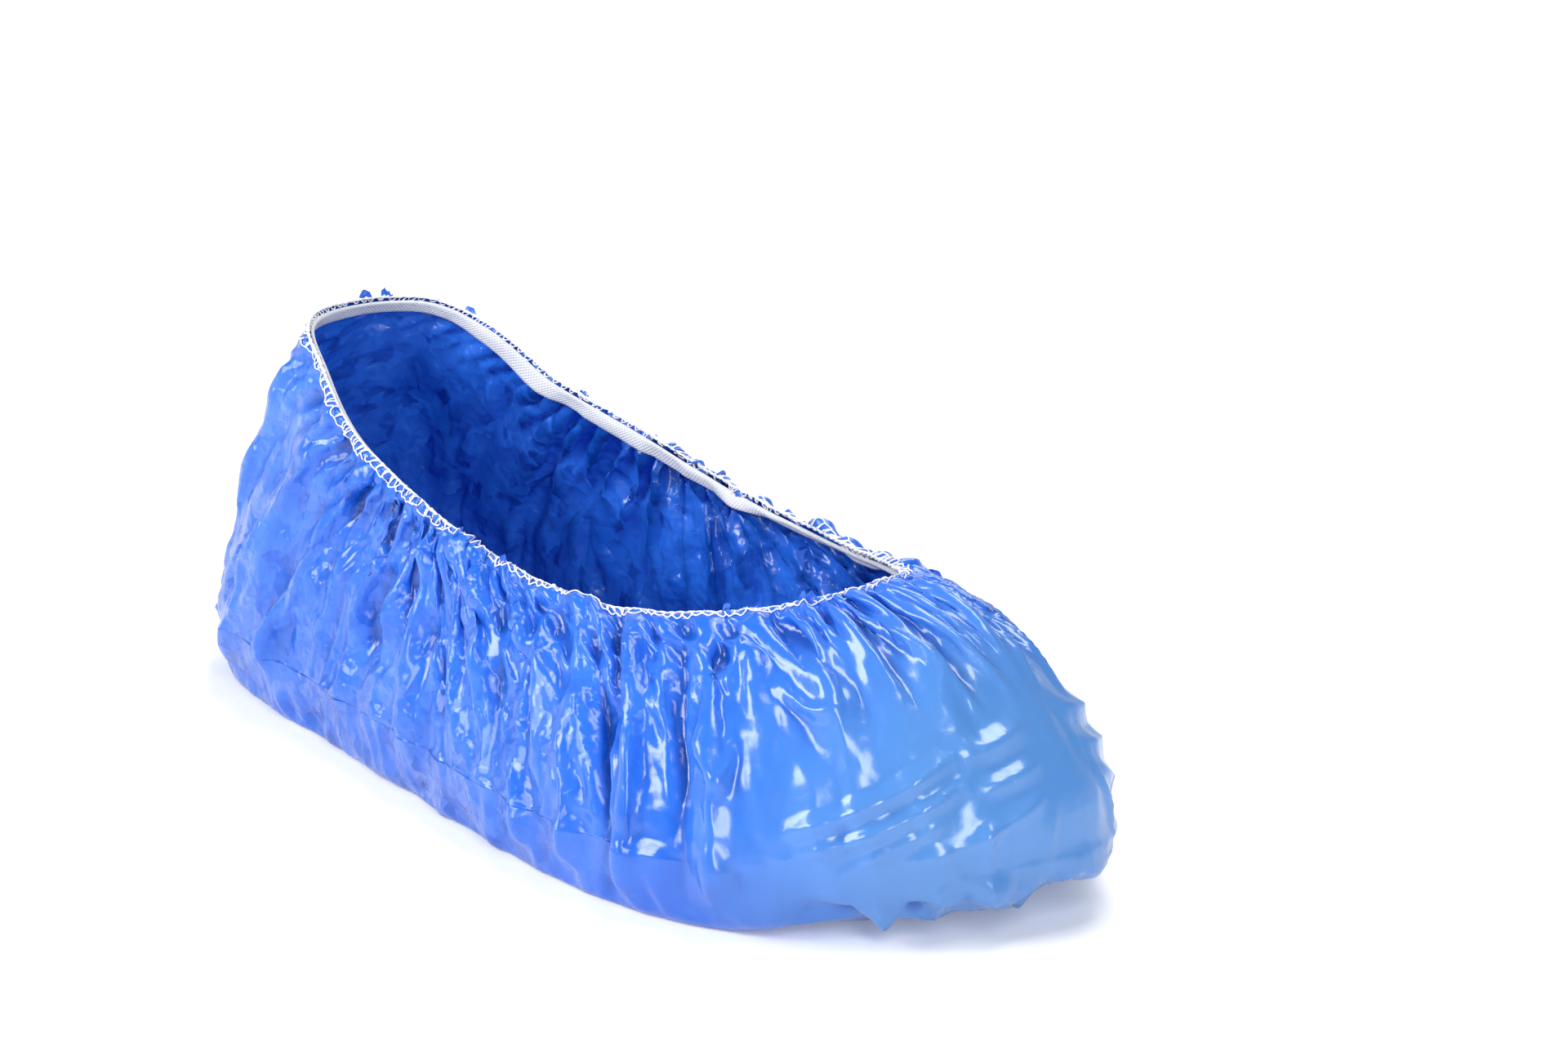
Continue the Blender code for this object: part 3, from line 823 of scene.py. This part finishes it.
def cap_moves(relaxed, worn, rows):
    """Keep the relaxed film near the worn shape, and flat against the elastic at the rim."""
    normal = normals(worn)
    move = relaxed - worn
    across = np.sum(move * normal, axis=2)
    drop = np.linalg.norm(np.diff(worn, axis=0), axis=2)
    below = np.vstack([np.zeros((1, worn.shape[1])), drop.cumsum(axis=0)])
    free = smooth(below, *RIM_FREE)
    dent = RIM_DENT + (DENT_LIMIT - RIM_DENT) * free
    capped = np.where(across < 0.0, -dent * np.tanh(-across / dent),
                      SWELL_LIMIT * np.tanh(across / SWELL_LIMIT))
    wide = smooth(below, *WIDE_FOLDS)
    for _ in range(WIDE_TURNS):
        even = (np.roll(capped, 1, axis=1) + 2.0 * capped + np.roll(capped, -1, axis=1)) / 4.0
        capped = capped * (1.0 - wide) + even * wide
    capped *= 1.0 - smooth(rows, *FIRM_EDGE)[:, None]
    slide = move - normal * across[:, :, None]
    slide *= 1.0 - smooth(rows, *FIRM_SLIDE)[:, None, None]
    return worn + slide + normal * capped[:, :, None]


def doubled(grid, closed):
    """Twice the points along the first axis, on a Catmull-Rom curve."""
    if closed:
        before, after, next_after = (np.roll(grid, k, axis=0) for k in (1, -1, -2))
    else:
        before = np.concatenate([2.0 * grid[:1] - grid[1:2], grid[:-1]])
        after = np.concatenate([grid[1:], 2.0 * grid[-1:] - grid[-2:-1]])
        next_after = np.concatenate([after[1:], 2.0 * after[-1:] - after[-2:-1]])
    middle = (9.0 * (grid + after) - before - next_after) / 16.0
    both = np.stack([grid, middle], axis=1).reshape(-1, *grid.shape[1:])
    return both if closed else both[:-1]


def refined(grid):
    """The grid with twice the rows and twice the ribs."""
    grid = doubled(grid, False)
    return doubled(grid.transpose(1, 0, 2), True).transpose(1, 0, 2)


def warp(a, b, random):
    """Smooth unevenness over two coordinates, the first of which closes on itself."""
    total = np.zeros(np.broadcast(a, b).shape)
    for wave in WARP_WAVES:
        phase = random.uniform(0.0, 2.0 * np.pi)
        drift = random.uniform(-WARP_DRIFT, WARP_DRIFT)
        total += np.sin(2.0 * np.pi * wave * a + phase + drift * b)
    return total / len(WARP_WAVES)


def facets(turn, down, row, random):
    """Random heights on a bent lattice of triangles, with flat facets between them."""
    count = int(row["count"])
    s = turn * count + row["warp"] * warp(turn, down / row["pitch"], random)
    t = down / row["pitch"] + row["warp"] * warp(turn, down / row["pitch"], random)
    t += LATTICE_START
    i = np.floor(s).astype(int)
    j = np.floor(t).astype(int)
    a = s - i
    b = t - j
    levels = j.max() + 3
    table = random.uniform(-1.0, 1.0, (count, levels))
    flipped = random.uniform(size=(count, levels)) < 0.5
    near, after = i % count, (i + 1) % count
    h00, h10 = table[near, j], table[after, j]
    h01, h11 = table[near, j + 1], table[after, j + 1]
    one = np.where(a > b, h00 + (h10 - h00) * a + (h11 - h10) * b,
                   h00 + (h01 - h00) * b + (h11 - h01) * a)
    other = np.where(a + b < 1.0, h00 + (h10 - h00) * a + (h01 - h00) * b,
                     h11 + (h01 - h11) * (1.0 - a) + (h10 - h11) * (1.0 - b))
    return row["depth"] * np.where(flipped[near, j], other, one)


def down_of(rows):
    """Distance below the rim that a row value stands for."""
    return np.where(rows < 1.0, rows * ROW_SPAN, ROW_SPAN + (rows - 1.0) * TUCK_SPAN)


def creases(surface, rows):
    """Facets of crumpled film in three sizes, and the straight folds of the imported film."""
    random = np.random.default_rng(11)
    turn = (np.arange(surface.shape[1]) / surface.shape[1])[None, :]
    down = down_of(rows)[:, None]
    height = sum(facets(turn, down, row, random) for row in named_rows(FACETS, FACET_COLUMNS))
    for length in np.linspace(*LONG_FOLD_LENGTHS, LONG_FOLDS):
        direction = random.normal(size=3)
        direction /= np.linalg.norm(direction)
        bend = random.normal(size=3) * LONG_FOLD_BEND
        phase = surface @ direction / length
        phase += LONG_FOLD_WANDER * np.sin(surface @ bend + random.uniform(0.0, 6.0))
        saw = np.abs(2.0 * (phase - np.floor(phase)) - 1.0) - 0.5
        height = height + 2.0 * LONG_FOLD_DEPTH * saw
    return height


def line_distance(across, down, line):
    """Distance of surface points from a bent line, and where along it they are."""
    share = np.linspace(0.0, 1.0, LINE_STEPS)
    start = np.array([line["place"] * PLACE_SPAN, down_of(line["row"])])
    end = np.array([line["to_place"] * PLACE_SPAN, down_of(line["to_row"])])
    run = end - start
    middle = (start + end) / 2 + np.array([-run[1], run[0]]) * line["bend"]
    curve = (np.outer((1 - share) ** 2, start) + np.outer(2 * share * (1 - share), middle)
             + np.outer(share ** 2, end))
    nearest = np.full(across.shape, np.inf)
    where = np.zeros(across.shape)
    for i in range(LINE_STEPS - 1):
        a, b = curve[i], curve[i + 1]
        step = b - a
        part = ((across - a[0]) * step[0] + (down - a[1]) * step[1]) / (step @ step)
        part = np.clip(part, 0.0, 1.0)
        gap = np.hypot(across - a[0] - part * step[0], down - a[1] - part * step[1])
        closer = gap < nearest
        nearest = np.where(closer, gap, nearest)
        where = np.where(closer, (i + part) / (LINE_STEPS - 1), where)
    return nearest, where


def line_heights(place, side, rows):
    """Ridges and sharp valleys of the long creases, on both sides."""
    down = np.repeat(down_of(rows)[:, None], len(place), axis=1)
    height = np.zeros(down.shape)
    for line in named_rows(LINES, LINE_COLUMNS):
        for on in (-1.0, 1.0):
            shift = 0.0 if on < 0 else MEDIAL_SHIFT
            turned = np.where(side == on, place, 2.0 * (place > 0.5) - place) + shift
            across = np.repeat(turned[None, :] * PLACE_SPAN, len(rows), axis=0)
            gap, where = line_distance(across, down, line)
            ridge = np.clip(1.0 - gap / line["width"], 0.0, 1.0) ** LINE_SHARPNESS
            inner = np.clip(where, LINE_END, 1.0 - LINE_END)
            height += line["height"] * ridge * np.sin(np.pi * inner) ** LINE_FADE
    return height


def toe_crumple(place, rows):
    """Folded excess under the front of the toe."""
    random = np.random.default_rng(23)
    turn = (np.arange(len(place)) / len(place))[None, :]
    down = down_of(rows)[:, None]
    height = sum(facets(turn, down, row, random) for row in named_rows(CRUMPLES, FACET_COLUMNS))
    zone = smooth(place, *CRUMPLE_PLACES)[None, :] * smooth(rows, *CRUMPLE_START)[:, None]
    return height * zone * (1.0 - smooth(rows, *CRUMPLE_END))[:, None]


def point_heights(place, side, rows):
    """Cones that stick out of the crumpled film under the toe."""
    height = np.zeros((len(rows), len(place)))
    for tip in named_rows(POINTS, POINT_COLUMNS):
        across = (place[None, :] - tip["place"]) * PLACE_SPAN
        down = (down_of(rows) - down_of(tip["row"]))[:, None]
        reach = np.hypot(across, down) / tip["width"]
        cone = np.clip(1.0 - reach, 0.0, 1.0) ** POINT_SHARPNESS
        height += tip["height"] * cone * (side == tip["side"])
    return height


def even_normals(surface):
    """Normals that turn slowly round the widest line, so valleys there don't cross over."""
    normal = normals(surface)
    for _ in range(NORMAL_TURNS):
        normal[1:-1] = (normal[:-2] + 2.0 * normal[1:-1] + normal[2:]) / 4.0
    return normal / np.linalg.norm(normal, axis=2)[:, :, None]


def fold_depths(surface, normal):
    """How far each point lies below (negative) or above the film round it, along the ribs."""
    even = surface
    for _ in range(DEPTH_TURNS):
        even = (np.roll(even, 1, axis=1) + 2.0 * even + np.roll(even, -1, axis=1)) / 4.0
    return np.sum((surface - even) * normal, axis=2)


def film_surface():
    """The film's grid of points, how deep in a fold each lies, and the grid without folds."""
    place, side = rib_places(RIBS)
    rows = film_rows()
    surface = base_surface(place, side, rows) - PLAN_ORIGIN
    folds = fold_heights(place, side, rows) * FOLD_SHARE
    worn = surface + normals(surface) * folds[:, :, None]
    worn = cap_moves(simulate(surface, worn, place, rows), worn, rows)
    fine = refined(worn)
    fine_rows = doubled(rows[:, None], False)[:, 0]
    fine_place, fine_side = rib_places(2 * RIBS)
    creased = np.interp(fine_place, column(CREASED, CREASED_COLUMNS, "place"),
                        column(CREASED, CREASED_COLUMNS, "creased"))
    fade = smooth(fine_rows, *CREASE_START) * (1.0 - smooth(fine_rows, *CREASE_END))
    height = creases(fine, fine_rows) * creased[None, :]
    height += line_heights(fine_place, fine_side, fine_rows)
    height *= fade[:, None]
    height += toe_crumple(fine_place, fine_rows)
    height += point_heights(fine_place, fine_side, fine_rows)
    edge = smooth(fine_rows, *EDGE_START) * (1.0 - smooth(fine_rows, *EDGE_END))
    height = np.where(height < 0.0, height * (1.0 - EDGE_EASE * edge)[:, None], height)
    normal = even_normals(fine)
    fine = fine + normal * height[:, :, None]
    depth = fold_depths(fine, normal)
    sole_rows = 2.0 + np.linspace(0.0, 2.0, SOLE_ROWS + 1)[1:]
    sole = base_surface(fine_place, fine_side, sole_rows) - PLAN_ORIGIN
    whole = np.concatenate([fine, sole])
    depth = np.concatenate([depth, np.zeros(sole.shape[:2])])
    whole[:, :, 2] = np.maximum(whole[:, :, 2], SOLE_LIFT)
    return whole, depth, surface


def make_film(grid, depth):
    """The film bag as one thin sheet, which knows how deep in a fold each point lies, for the
    shade painted into its folds.
    """
    film = mesh_object("film", grid, grid_faces(*grid.shape[:2]))
    layer = film.data.attributes.new("fold", "FLOAT", "POINT")
    layer.data.foreach_set("value", depth.ravel().astype(np.float32))
    film.data.shade_smooth()
    return film


def rim_rings(grid, depths):
    """Rings of points on the film at distances below the rim, and the normals there."""
    top = grid[:RIM_RINGS]
    drop = np.linalg.norm(np.diff(top, axis=0), axis=2)
    below = np.vstack([np.zeros((1, top.shape[1])), drop.cumsum(axis=0)])
    normal = normals(grid)[:RIM_RINGS]
    rings = np.zeros((len(depths), top.shape[1], 3))
    facing = np.zeros_like(rings)
    for j in range(top.shape[1]):
        for k in range(3):
            rings[:, j, k] = np.interp(depths, below[:, j], top[:, j, k])
            facing[:, j, k] = np.interp(depths, below[:, j], normal[:, j, k])
    return rings, facing / np.linalg.norm(facing, axis=2)[:, :, None]


def soft_normals(facing):
    """Normals of the rim, evened out over its small gathers."""
    total = sum(np.roll(facing, k, axis=1) for k in range(-SOFT_REACH, SOFT_REACH + 1))
    return total / np.linalg.norm(total, axis=2)[:, :, None]


class Rim:
    """Places points by their distance along the rim, below it and out from it."""

    def __init__(self, grid):
        self.depths = np.linspace(0.0, STRIP_HEIGHT + RIM_MARGIN, RIM_RINGS)
        self.rings, facing = rim_rings(grid, self.depths)
        self.facing = soft_normals(facing)
        top = self.rings[0]
        steps = np.linalg.norm(np.roll(top, -1, axis=0) - top, axis=1)
        self.along = np.concatenate([[0.0], steps.cumsum()])
        self.length = self.along[-1]

    def inside(self, grid):
        """This rim without its small gathers: the smooth grid's, inside all of them."""
        smooth_rim = Rim(grid)
        ribs = np.linspace(0.0, 1.0, self.rings.shape[1], endpoint=False)
        coarse = np.linspace(0.0, 1.0, smooth_rim.rings.shape[1] + 1)
        for name in ("rings", "facing"):
            field = getattr(smooth_rim, name)
            closed = np.concatenate([field, field[:, :1]], axis=1)
            spread = [[np.interp(ribs, coarse, closed[i, :, k]) for k in range(3)]
                      for i in range(len(closed))]
            setattr(smooth_rim, name, np.array(spread).transpose(0, 2, 1))
        dent = np.sum((smooth_rim.rings - self.rings) * smooth_rim.facing, axis=2)
        turns = range(-EVEN_REACH, EVEN_REACH + 1)
        reach = np.max([np.roll(dent, k, axis=1) for k in turns], axis=0)
        inward = sum(np.roll(reach, k, axis=1) for k in turns) / len(turns)
        inward = np.maximum(inward, 0.0)[:, :, None]
        smooth_rim.rings = smooth_rim.rings - smooth_rim.facing * inward
        smooth_rim.along, smooth_rim.length = self.along, self.length
        return smooth_rim

    def at(self, along, depth, out):
        """Points at distances along the rim, down from it and outward."""
        count = self.rings.shape[1]
        rib = np.interp(np.mod(along, self.length), self.along, np.arange(count + 1))
        row = np.interp(depth, self.depths, np.arange(len(self.depths)))
        i = np.minimum(row.astype(int), len(self.depths) - 2)
        j = rib.astype(int) % count
        a, b = (row - i)[:, None], (rib - np.floor(rib))[:, None]
        result = []
        for field in (self.rings, self.facing):
            upper = field[i, j] * (1 - b) + field[i, (j + 1) % count] * b
            lower = field[i + 1, j] * (1 - b) + field[i + 1, (j + 1) % count] * b
            result.append(upper * (1 - a) + lower * a)
        point, facing = result
        return point + facing * out[:, None], facing


def tube(path, facing, radius, sides, first):
    """Vertices and quads of a closed loop of thread."""
    tangent = np.roll(path, -1, axis=0) - np.roll(path, 1, axis=0)
    tangent /= np.maximum(np.linalg.norm(tangent, axis=1), 1e-9)[:, None]
    across = np.cross(tangent, facing)
    across /= np.maximum(np.linalg.norm(across, axis=1), 1e-9)[:, None]
    up = np.cross(across, tangent)
    turn = np.arange(sides) / sides * 2.0 * np.pi
    ring = (path[:, None, :] + radius * (across[:, None, :] * np.cos(turn)[None, :, None]
            + up[:, None, :] * np.sin(turn)[None, :, None]))
    count = len(path)
    faces = []
    for i in range(count):
        n = (i + 1) % count
        for k in range(sides):
            m = (k + 1) % sides
            faces.append((first + i * sides + k, first + i * sides + m,
                          first + n * sides + m, first + n * sides + k))
    return ring.reshape(-1, 3), faces


def stitch_paths(rim):
    """The loops of the overlock: scalloped edge, rungs, and the two twisted rim threads."""
    random = np.random.default_rng(5)
    count = int(round(rim.length / STITCH_PITCH))
    pitch = rim.length / count
    jitter = random.normal(size=count) * PITCH_JITTER
    depth_of = STITCH_DEPTH * (1.0 + random.normal(size=count) * DEPTH_JITTER)
    stitch = np.arange(count)[:, None]

    share = np.linspace(0.0, 1.0, SCALLOP_POINTS, endpoint=False)
    along = (stitch + share[None, :]) * pitch
    hang = np.sin(np.pi * share)[None, :] ** 2
    depth = depth_of[:, None] * (SCALLOP_DEPTH + SCALLOP_HANG * hang)
    lift = np.repeat(THREAD_LIFT + SCALLOP_LIFT * (1.0 - hang), count, axis=0)
    scallop = (along.ravel(), depth.ravel(), lift.ravel())

    share, rung_depth, rung_lift = (column(RUNG, RUNG_COLUMNS, name) for name in RUNG_COLUMNS)
    along = (stitch + share[None, :] + jitter[:, None]) * pitch
    depth = depth_of[:, None] * rung_depth[None, :]
    lift = np.repeat(rung_lift[None, :] * 0.001, count, axis=0)
    rungs = (along.ravel(), depth.ravel(), lift.ravel())

    steps = count * RIM_THREAD_POINTS
    along = np.arange(steps) / steps * rim.length
    turn = along / pitch * np.pi
    threads = []
    for start in (0.0, np.pi):
        threads.append((along, RIM_THREAD_DEPTH[0] + RIM_THREAD_DEPTH[1] * np.cos(turn + start),
                        RIM_THREAD_LIFT[0] + RIM_THREAD_LIFT[1] * np.sin(turn + start)))
    return scallop, rungs, threads


def make_thread(rim):
    """White overlock thread along the whole rim."""
    scallop, rungs, threads = stitch_paths(rim)
    vertices = []
    faces = []
    first = 0
    paths = [(scallop, THREAD_RADIUS), (rungs, THREAD_RADIUS)]
    paths += [(path, RIM_THREAD_RADIUS) for path in threads]
    for (along, depth, lift), radius in paths:
        points, facing = rim.at(along, np.maximum(depth, 0.0), lift)
        ring, quads = tube(points, facing, radius, THREAD_SIDES, first)
        vertices.append(ring)
        faces += quads
        first += len(ring)
    piece = mesh_object("overlock_thread", np.vstack(vertices), faces)
    piece.data.shade_smooth()
    return piece


def make_strip(rim):
    """Knitted elastic that follows the inside of the rim."""
    steps = STRIP_STEPS
    along = np.arange(steps) / steps * rim.length
    section = [(row["down"] * STRIP_HEIGHT, STRIP_GAP + row["in"] * STRIP_THICKNESS)
               for row in named_rows(STRIP_SECTION, STRIP_COLUMNS)]
    rings = []
    for depth, inward in section:
        points, _ = rim.at(along, np.full(steps, depth), np.full(steps, -inward))
        rings.append(points)
    grid = np.array(rings)
    count = len(section)
    faces = []
    uvs = []
    for i in range(count):
        k = (i + 1) % count
        for j in range(steps):
            n = (j + 1) % steps
            faces.append((i * steps + j, i * steps + n, k * steps + n, k * steps + j))
            uvs += [(j, i), (j + 1, i), (j + 1, i + 1), (j, i + 1)]
    piece = mesh_object("elastic_strip", grid, faces)
    layer = piece.data.uv_layers.new(name="strip")
    flat = np.array(uvs, float) * np.array([rim.length / steps, STRIP_HEIGHT / STRIP_LEVELS])
    layer.data.foreach_set("uv", flat.ravel())
    piece.data.shade_smooth()
    return piece


def make_snips(rim):
    """Small torn bits of film above the stitches."""
    random = np.random.default_rng(3)
    vertices = []
    faces = []
    half = rim.length / 2
    for snip in named_rows(SNIPS, SNIP_COLUMNS):
        middle = snip["share"] * half if snip["side"] < 0 else rim.length - snip["share"] * half
        first = len(vertices)
        across = np.linspace(-0.5, 0.5, SNIP_POINTS) * snip["width"]
        slant = SNIP_LEAN * np.sin(np.radians(snip["turn"]))
        for level in range(SNIP_POINTS):
            share = level / (SNIP_POINTS - 1)
            above = share > 0
            along = middle + across * (1.0 - SNIP_TAPER * share) + share * slant
            uneven = random.normal(size=SNIP_POINTS) * SNIP_CURL_JITTER * above
            out = SNIP_OUT + SNIP_CURL * share * share + uneven
            base, _ = rim.at(along, np.full(SNIP_POINTS, SNIP_ROOT), out)
            uneven = random.normal(size=SNIP_POINTS) * SNIP_TOP_JITTER * above
            base[:, 2] += share * snip["height"] + uneven
            vertices += [tuple(point) for point in base]
        for level in range(SNIP_POINTS - 1):
            for k in range(SNIP_POINTS - 1):
                a = first + level * SNIP_POINTS + k
                faces.append((a, a + SNIP_POINTS, a + SNIP_POINTS + 1, a + 1))
    piece = mesh_object("film_snips", vertices, faces)
    piece.data.shade_smooth()
    return piece


class Look:
    """A material, with short ways to add nodes to it."""

    def __init__(self, name, **values):
        self.material = bpy.data.materials.new(name)
        self.material.use_nodes = True
        self.tree = self.material.node_tree
        self.shader = self.tree.nodes["Principled BSDF"]
        self.place = self.add("TexCoord").outputs["Object"]
        self.feed(self.shader, {key.replace("_", " "): value for key, value in values.items()})

    def feed(self, node, inputs):
        """Give inputs of a node their values or their links."""
        for name, value in inputs.items():
            if isinstance(value, bpy.types.NodeSocket):
                self.tree.links.new(value, node.inputs[name])
            else:
                node.inputs[name].default_value = value

    def add(self, kind, inputs=None, **settings):
        """A new node with its settings and inputs."""
        node = self.tree.nodes.new("ShaderNode" + kind)
        for name, value in settings.items():
            setattr(node, name, value)
        self.feed(node, inputs or {})
        return node

    def noise(self, scale, detail=2.0):
        """Smooth noise over the piece."""
        return self.add("TexNoise", {"Vector": self.place, "Scale": scale, "Detail": detail})

    def span(self, value, source, target=(0.0, 1.0), form="SMOOTHSTEP"):
        """A value taken from one range to another."""
        ends = {"From Min": source[0], "From Max": source[1],
                "To Min": target[0], "To Max": target[1]}
        node = self.add("MapRange", {"Value": value, **ends}, interpolation_type=form)
        return node.outputs["Result"]

    def ramp(self, value, low, high, ends=(0.0, 1.0)):
        """A colour between two, by a value."""
        node = self.add("ValToRGB", {"Fac": value})
        for element, place, color in zip(node.color_ramp.elements, ends, (low, high)):
            element.position = place
            element.color = color
        return node.outputs["Color"]

    def mix(self, share, first, second):
        """A share of a second colour in a first one."""
        inputs = {"Factor": share, "A": first, "B": second}
        return self.add("Mix", inputs, data_type="RGBA").outputs["Result"]

    def bump(self, height, strength, distance, **inputs):
        """Normals of a surface with this height on it."""
        inputs = {"Height": height, "Strength": strength, "Distance": distance, **inputs}
        return self.add("Bump", inputs).outputs["Normal"]

    def tilted_cells(self, vector, scale):
        """Height of flat facets, each tilted its own way, with sharp edges between them."""
        facet = self.add("TexVoronoi", {"Vector": vector, "Scale": scale})
        reach = self.add("VectorMath", {0: vector, 1: facet.outputs["Position"]},
                         operation="SUBTRACT")
        tilt = self.add("VectorMath", {0: facet.outputs["Color"], 1: (0.5, 0.5, 0.5)},
                        operation="SUBTRACT")
        height = self.add("VectorMath", {0: reach.outputs["Vector"], 1: tilt.outputs["Vector"]},
                          operation="DOT_PRODUCT")
        return height.outputs["Value"]


def film_material():
    """Thin glossy blue film with fine crinkles. It is paler where it is stretched over the toe,
    with a sheen of light painted in there, and has painted shade near the floor and in deep
    folds.
    """
    look = Look("film_look", IOR=1.48, Coat_Weight=0.5, Coat_Roughness=0.13)
    apart = look.add("SeparateXYZ", {"Vector": look.place})
    cloud = look.noise(38.0, 5.0).outputs["Fac"]
    fold = look.add("Attribute", attribute_name="fold").outputs["Fac"]
    color = look.ramp(cloud, DARK_BLUE, CLEAR_BLUE, (0.30, 0.72))
    # Paler grey-blue toward the toe: the taut film's own tone with a painted sheen of light on
    # the toe cap
    toe = look.span(apart.outputs["X"], TOE_TONE_AND_SHEEN_ZONE, (0.0, TOE_TONE_AND_SHEEN_SHARE))
    color = look.mix(toe, color, TOE_TONE_AND_SHEEN_BLUE)
    # Painted shade: darker blue toward the floor
    low = look.span(apart.outputs["Z"], LOW_SHADE_ZONE, (LOW_SHADE_SHARE, 0.0))
    color = look.mix(low, color, LOW_SHADE_BLUE)
    # Painted shade: dark blue where the film lies deep in a fold
    valley_shade = look.span(fold, FOLD_SHADE_ZONE, (0.0, FOLD_SHADE_SHARE))
    color = look.mix(valley_shade, color, FOLD_SHADE_BLUE)

    warped = {"Fac": CRINKLE_WARP, "Color1": look.place,
              "Color2": look.noise(60.0, 3.0).outputs["Color"]}
    bent = look.add("MixRGB", warped, blend_type="LINEAR_LIGHT").outputs["Color"]
    large, little = (look.tilted_cells(bent, scale) for scale in CRINKLE_SCALES)
    both = look.add("Math", {0: large, 1: little}, operation="ADD").outputs["Value"]
    strength = look.span(apart.outputs["X"], CRINKLE_ZONE, CRINKLE_STRENGTH)
    coarse = look.bump(both, strength, 1.0)
    fine = look.noise(420.0, 4.0).outputs["Fac"]
    look.feed(look.shader, {
        "Base Color": color,
        "Roughness": look.span(cloud, (0.0, 1.0), FILM_ROUGHNESS, "LINEAR"),
        "Normal": look.bump(fine, 0.25, 0.00025, Normal=coarse),
    })
    return look.material


def strip_material():
    """White knitted elastic: fine ribs along the strip, crossed by rows of loops."""
    look = Look("elastic_look", Roughness=0.8, Sheen_Weight=0.3)
    flat = look.add("UVMap", uv_map="strip").outputs["UV"]
    apart = look.add("SeparateXYZ", {"Vector": flat})
    waves = []
    for axis, pitch in KNIT_PITCH:
        turn = look.add("Math", {0: apart.outputs[axis], 1: 2.0 * np.pi / pitch},
                        operation="MULTIPLY")
        wave = look.add("Math", {0: turn.outputs["Value"]}, operation="SINE")
        waves.append(wave.outputs["Value"])
    knit = look.add("Math", {0: waves[0], 1: waves[1]}, operation="MULTIPLY").outputs["Value"]
    tint = look.span(knit, (-1.0, 1.0), form="LINEAR")
    look.feed(look.shader, {
        "Base Color": look.ramp(tint, (0.62, 0.66, 0.76, 1.0), (0.93, 0.94, 0.97, 1.0)),
        "Normal": look.bump(knit, 0.5, 0.0003),
    })
    return look.material


def thread_material():
    """Bright white polyester thread with a faint twist."""
    look = Look("thread_look", Roughness=0.6)
    grain = look.noise(2600.0).outputs["Fac"]
    pale, bright = (0.80, 0.82, 0.88, 1.0), (0.97, 0.97, 0.99, 1.0)
    look.feed(look.shader, {
        "Base Color": look.ramp(grain, pale, bright, (0.3, 0.7)),
        "Normal": look.bump(grain, 0.4, 0.0001),
    })
    return look.material


def floor_material():
    """White paper sweep, faintly mottled, with a little light of its own."""
    look = Look("floor_look", Roughness=0.9, Emission_Color=(1.0, 1.0, 1.0, 1.0),
                Emission_Strength=FLOOR_GLOW)
    mottle = look.noise(6.0).outputs["Fac"]
    look.feed(look.shader, {
        "Base Color": look.ramp(mottle, (0.93, 0.93, 0.94, 1.0), (0.96, 0.96, 0.96, 1.0)),
    })
    return look.material


def look_camera():
    """Camera at the photograph's angle."""
    data = bpy.data.cameras.new("camera")
    data.lens = CAMERA_LENS
    data.sensor_width = 36.0
    camera = bpy.data.objects.new("camera", data)
    azimuth = np.radians(CAMERA_AZIMUTH)
    elevation = np.radians(CAMERA_ELEVATION)
    back = Vector((np.sin(azimuth) * np.cos(elevation), -np.cos(azimuth) * np.cos(elevation),
                   np.sin(elevation)))
    camera.location = CAMERA_TARGET + back * CAMERA_DISTANCE
    camera.rotation_euler = (-back).to_track_quat("-Z", "Y").to_euler()
    bpy.context.scene.collection.objects.link(camera)
    bpy.context.scene.camera = camera


def make_lights():
    """A white surround and four soft boxes."""
    world = bpy.data.worlds.new("surround")
    bpy.context.scene.world = world
    world.use_nodes = True
    nodes, links = world.node_tree.nodes, world.node_tree.links
    direction = nodes.new("ShaderNodeTexCoord")
    apart = nodes.new("ShaderNodeSeparateXYZ")
    links.new(direction.outputs["Generated"], apart.inputs["Vector"])
    dim = nodes.new("ShaderNodeMapRange")
    dim.interpolation_type = "SMOOTHSTEP"
    dim.inputs["From Max"].default_value = WORLD_TOP
    dim.inputs["To Min"].default_value = WORLD_HORIZON
    dim.inputs["To Max"].default_value = WORLD_ZENITH
    links.new(apart.outputs["Z"], dim.inputs["Value"])
    background = nodes["Background"]
    background.inputs["Color"].default_value = (1.0, 1.0, 1.0, 1.0)
    links.new(dim.outputs["Result"], background.inputs["Strength"])
    for row in named_rows(LIGHTS, LIGHT_COLUMNS):
        light = bpy.data.lights.new(row["name"], "AREA")
        light.shape = "RECTANGLE"
        light.size, light.size_y = row["size"]
        light.energy = row["energy"]
        lamp = bpy.data.objects.new(row["name"], light)
        lamp.location = row["place"]
        aim = LIGHT_AIM - lamp.location
        lamp.rotation_euler = aim.to_track_quat("-Z", "Y").to_euler()
        bpy.context.scene.collection.objects.link(lamp)


def dress(piece, material, node=None):
    """Give a piece its material, hang it under the root body, and hide the CAD node it stands
    for.
    """
    piece.data.materials.append(material)
    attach(piece, "root")
    if node:
        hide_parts(node)


def main():
    """Camera, the dressed cover, the floor and the light."""
    look_camera()
    grid, depth, smooth_grid = film_surface()
    film = make_film(grid, depth)
    rim = Rim(grid)
    blue = film_material()
    strip = make_strip(rim.inside(smooth_grid))
    dress(film, blue, "film_body")
    dress(strip, strip_material(), "elastic_band")
    dress(make_thread(rim), thread_material())
    dress(make_snips(rim), blue)
    corners = [(x * FLOOR_REACH, y * FLOOR_REACH, 0) for x, y in FLOOR_CORNERS]
    floor = mesh_object("floor", corners, [(0, 1, 2, 3)])
    floor.data.materials.append(floor_material())
    make_lights()
    bpy.context.scene.view_settings.view_transform = "Standard"


main()
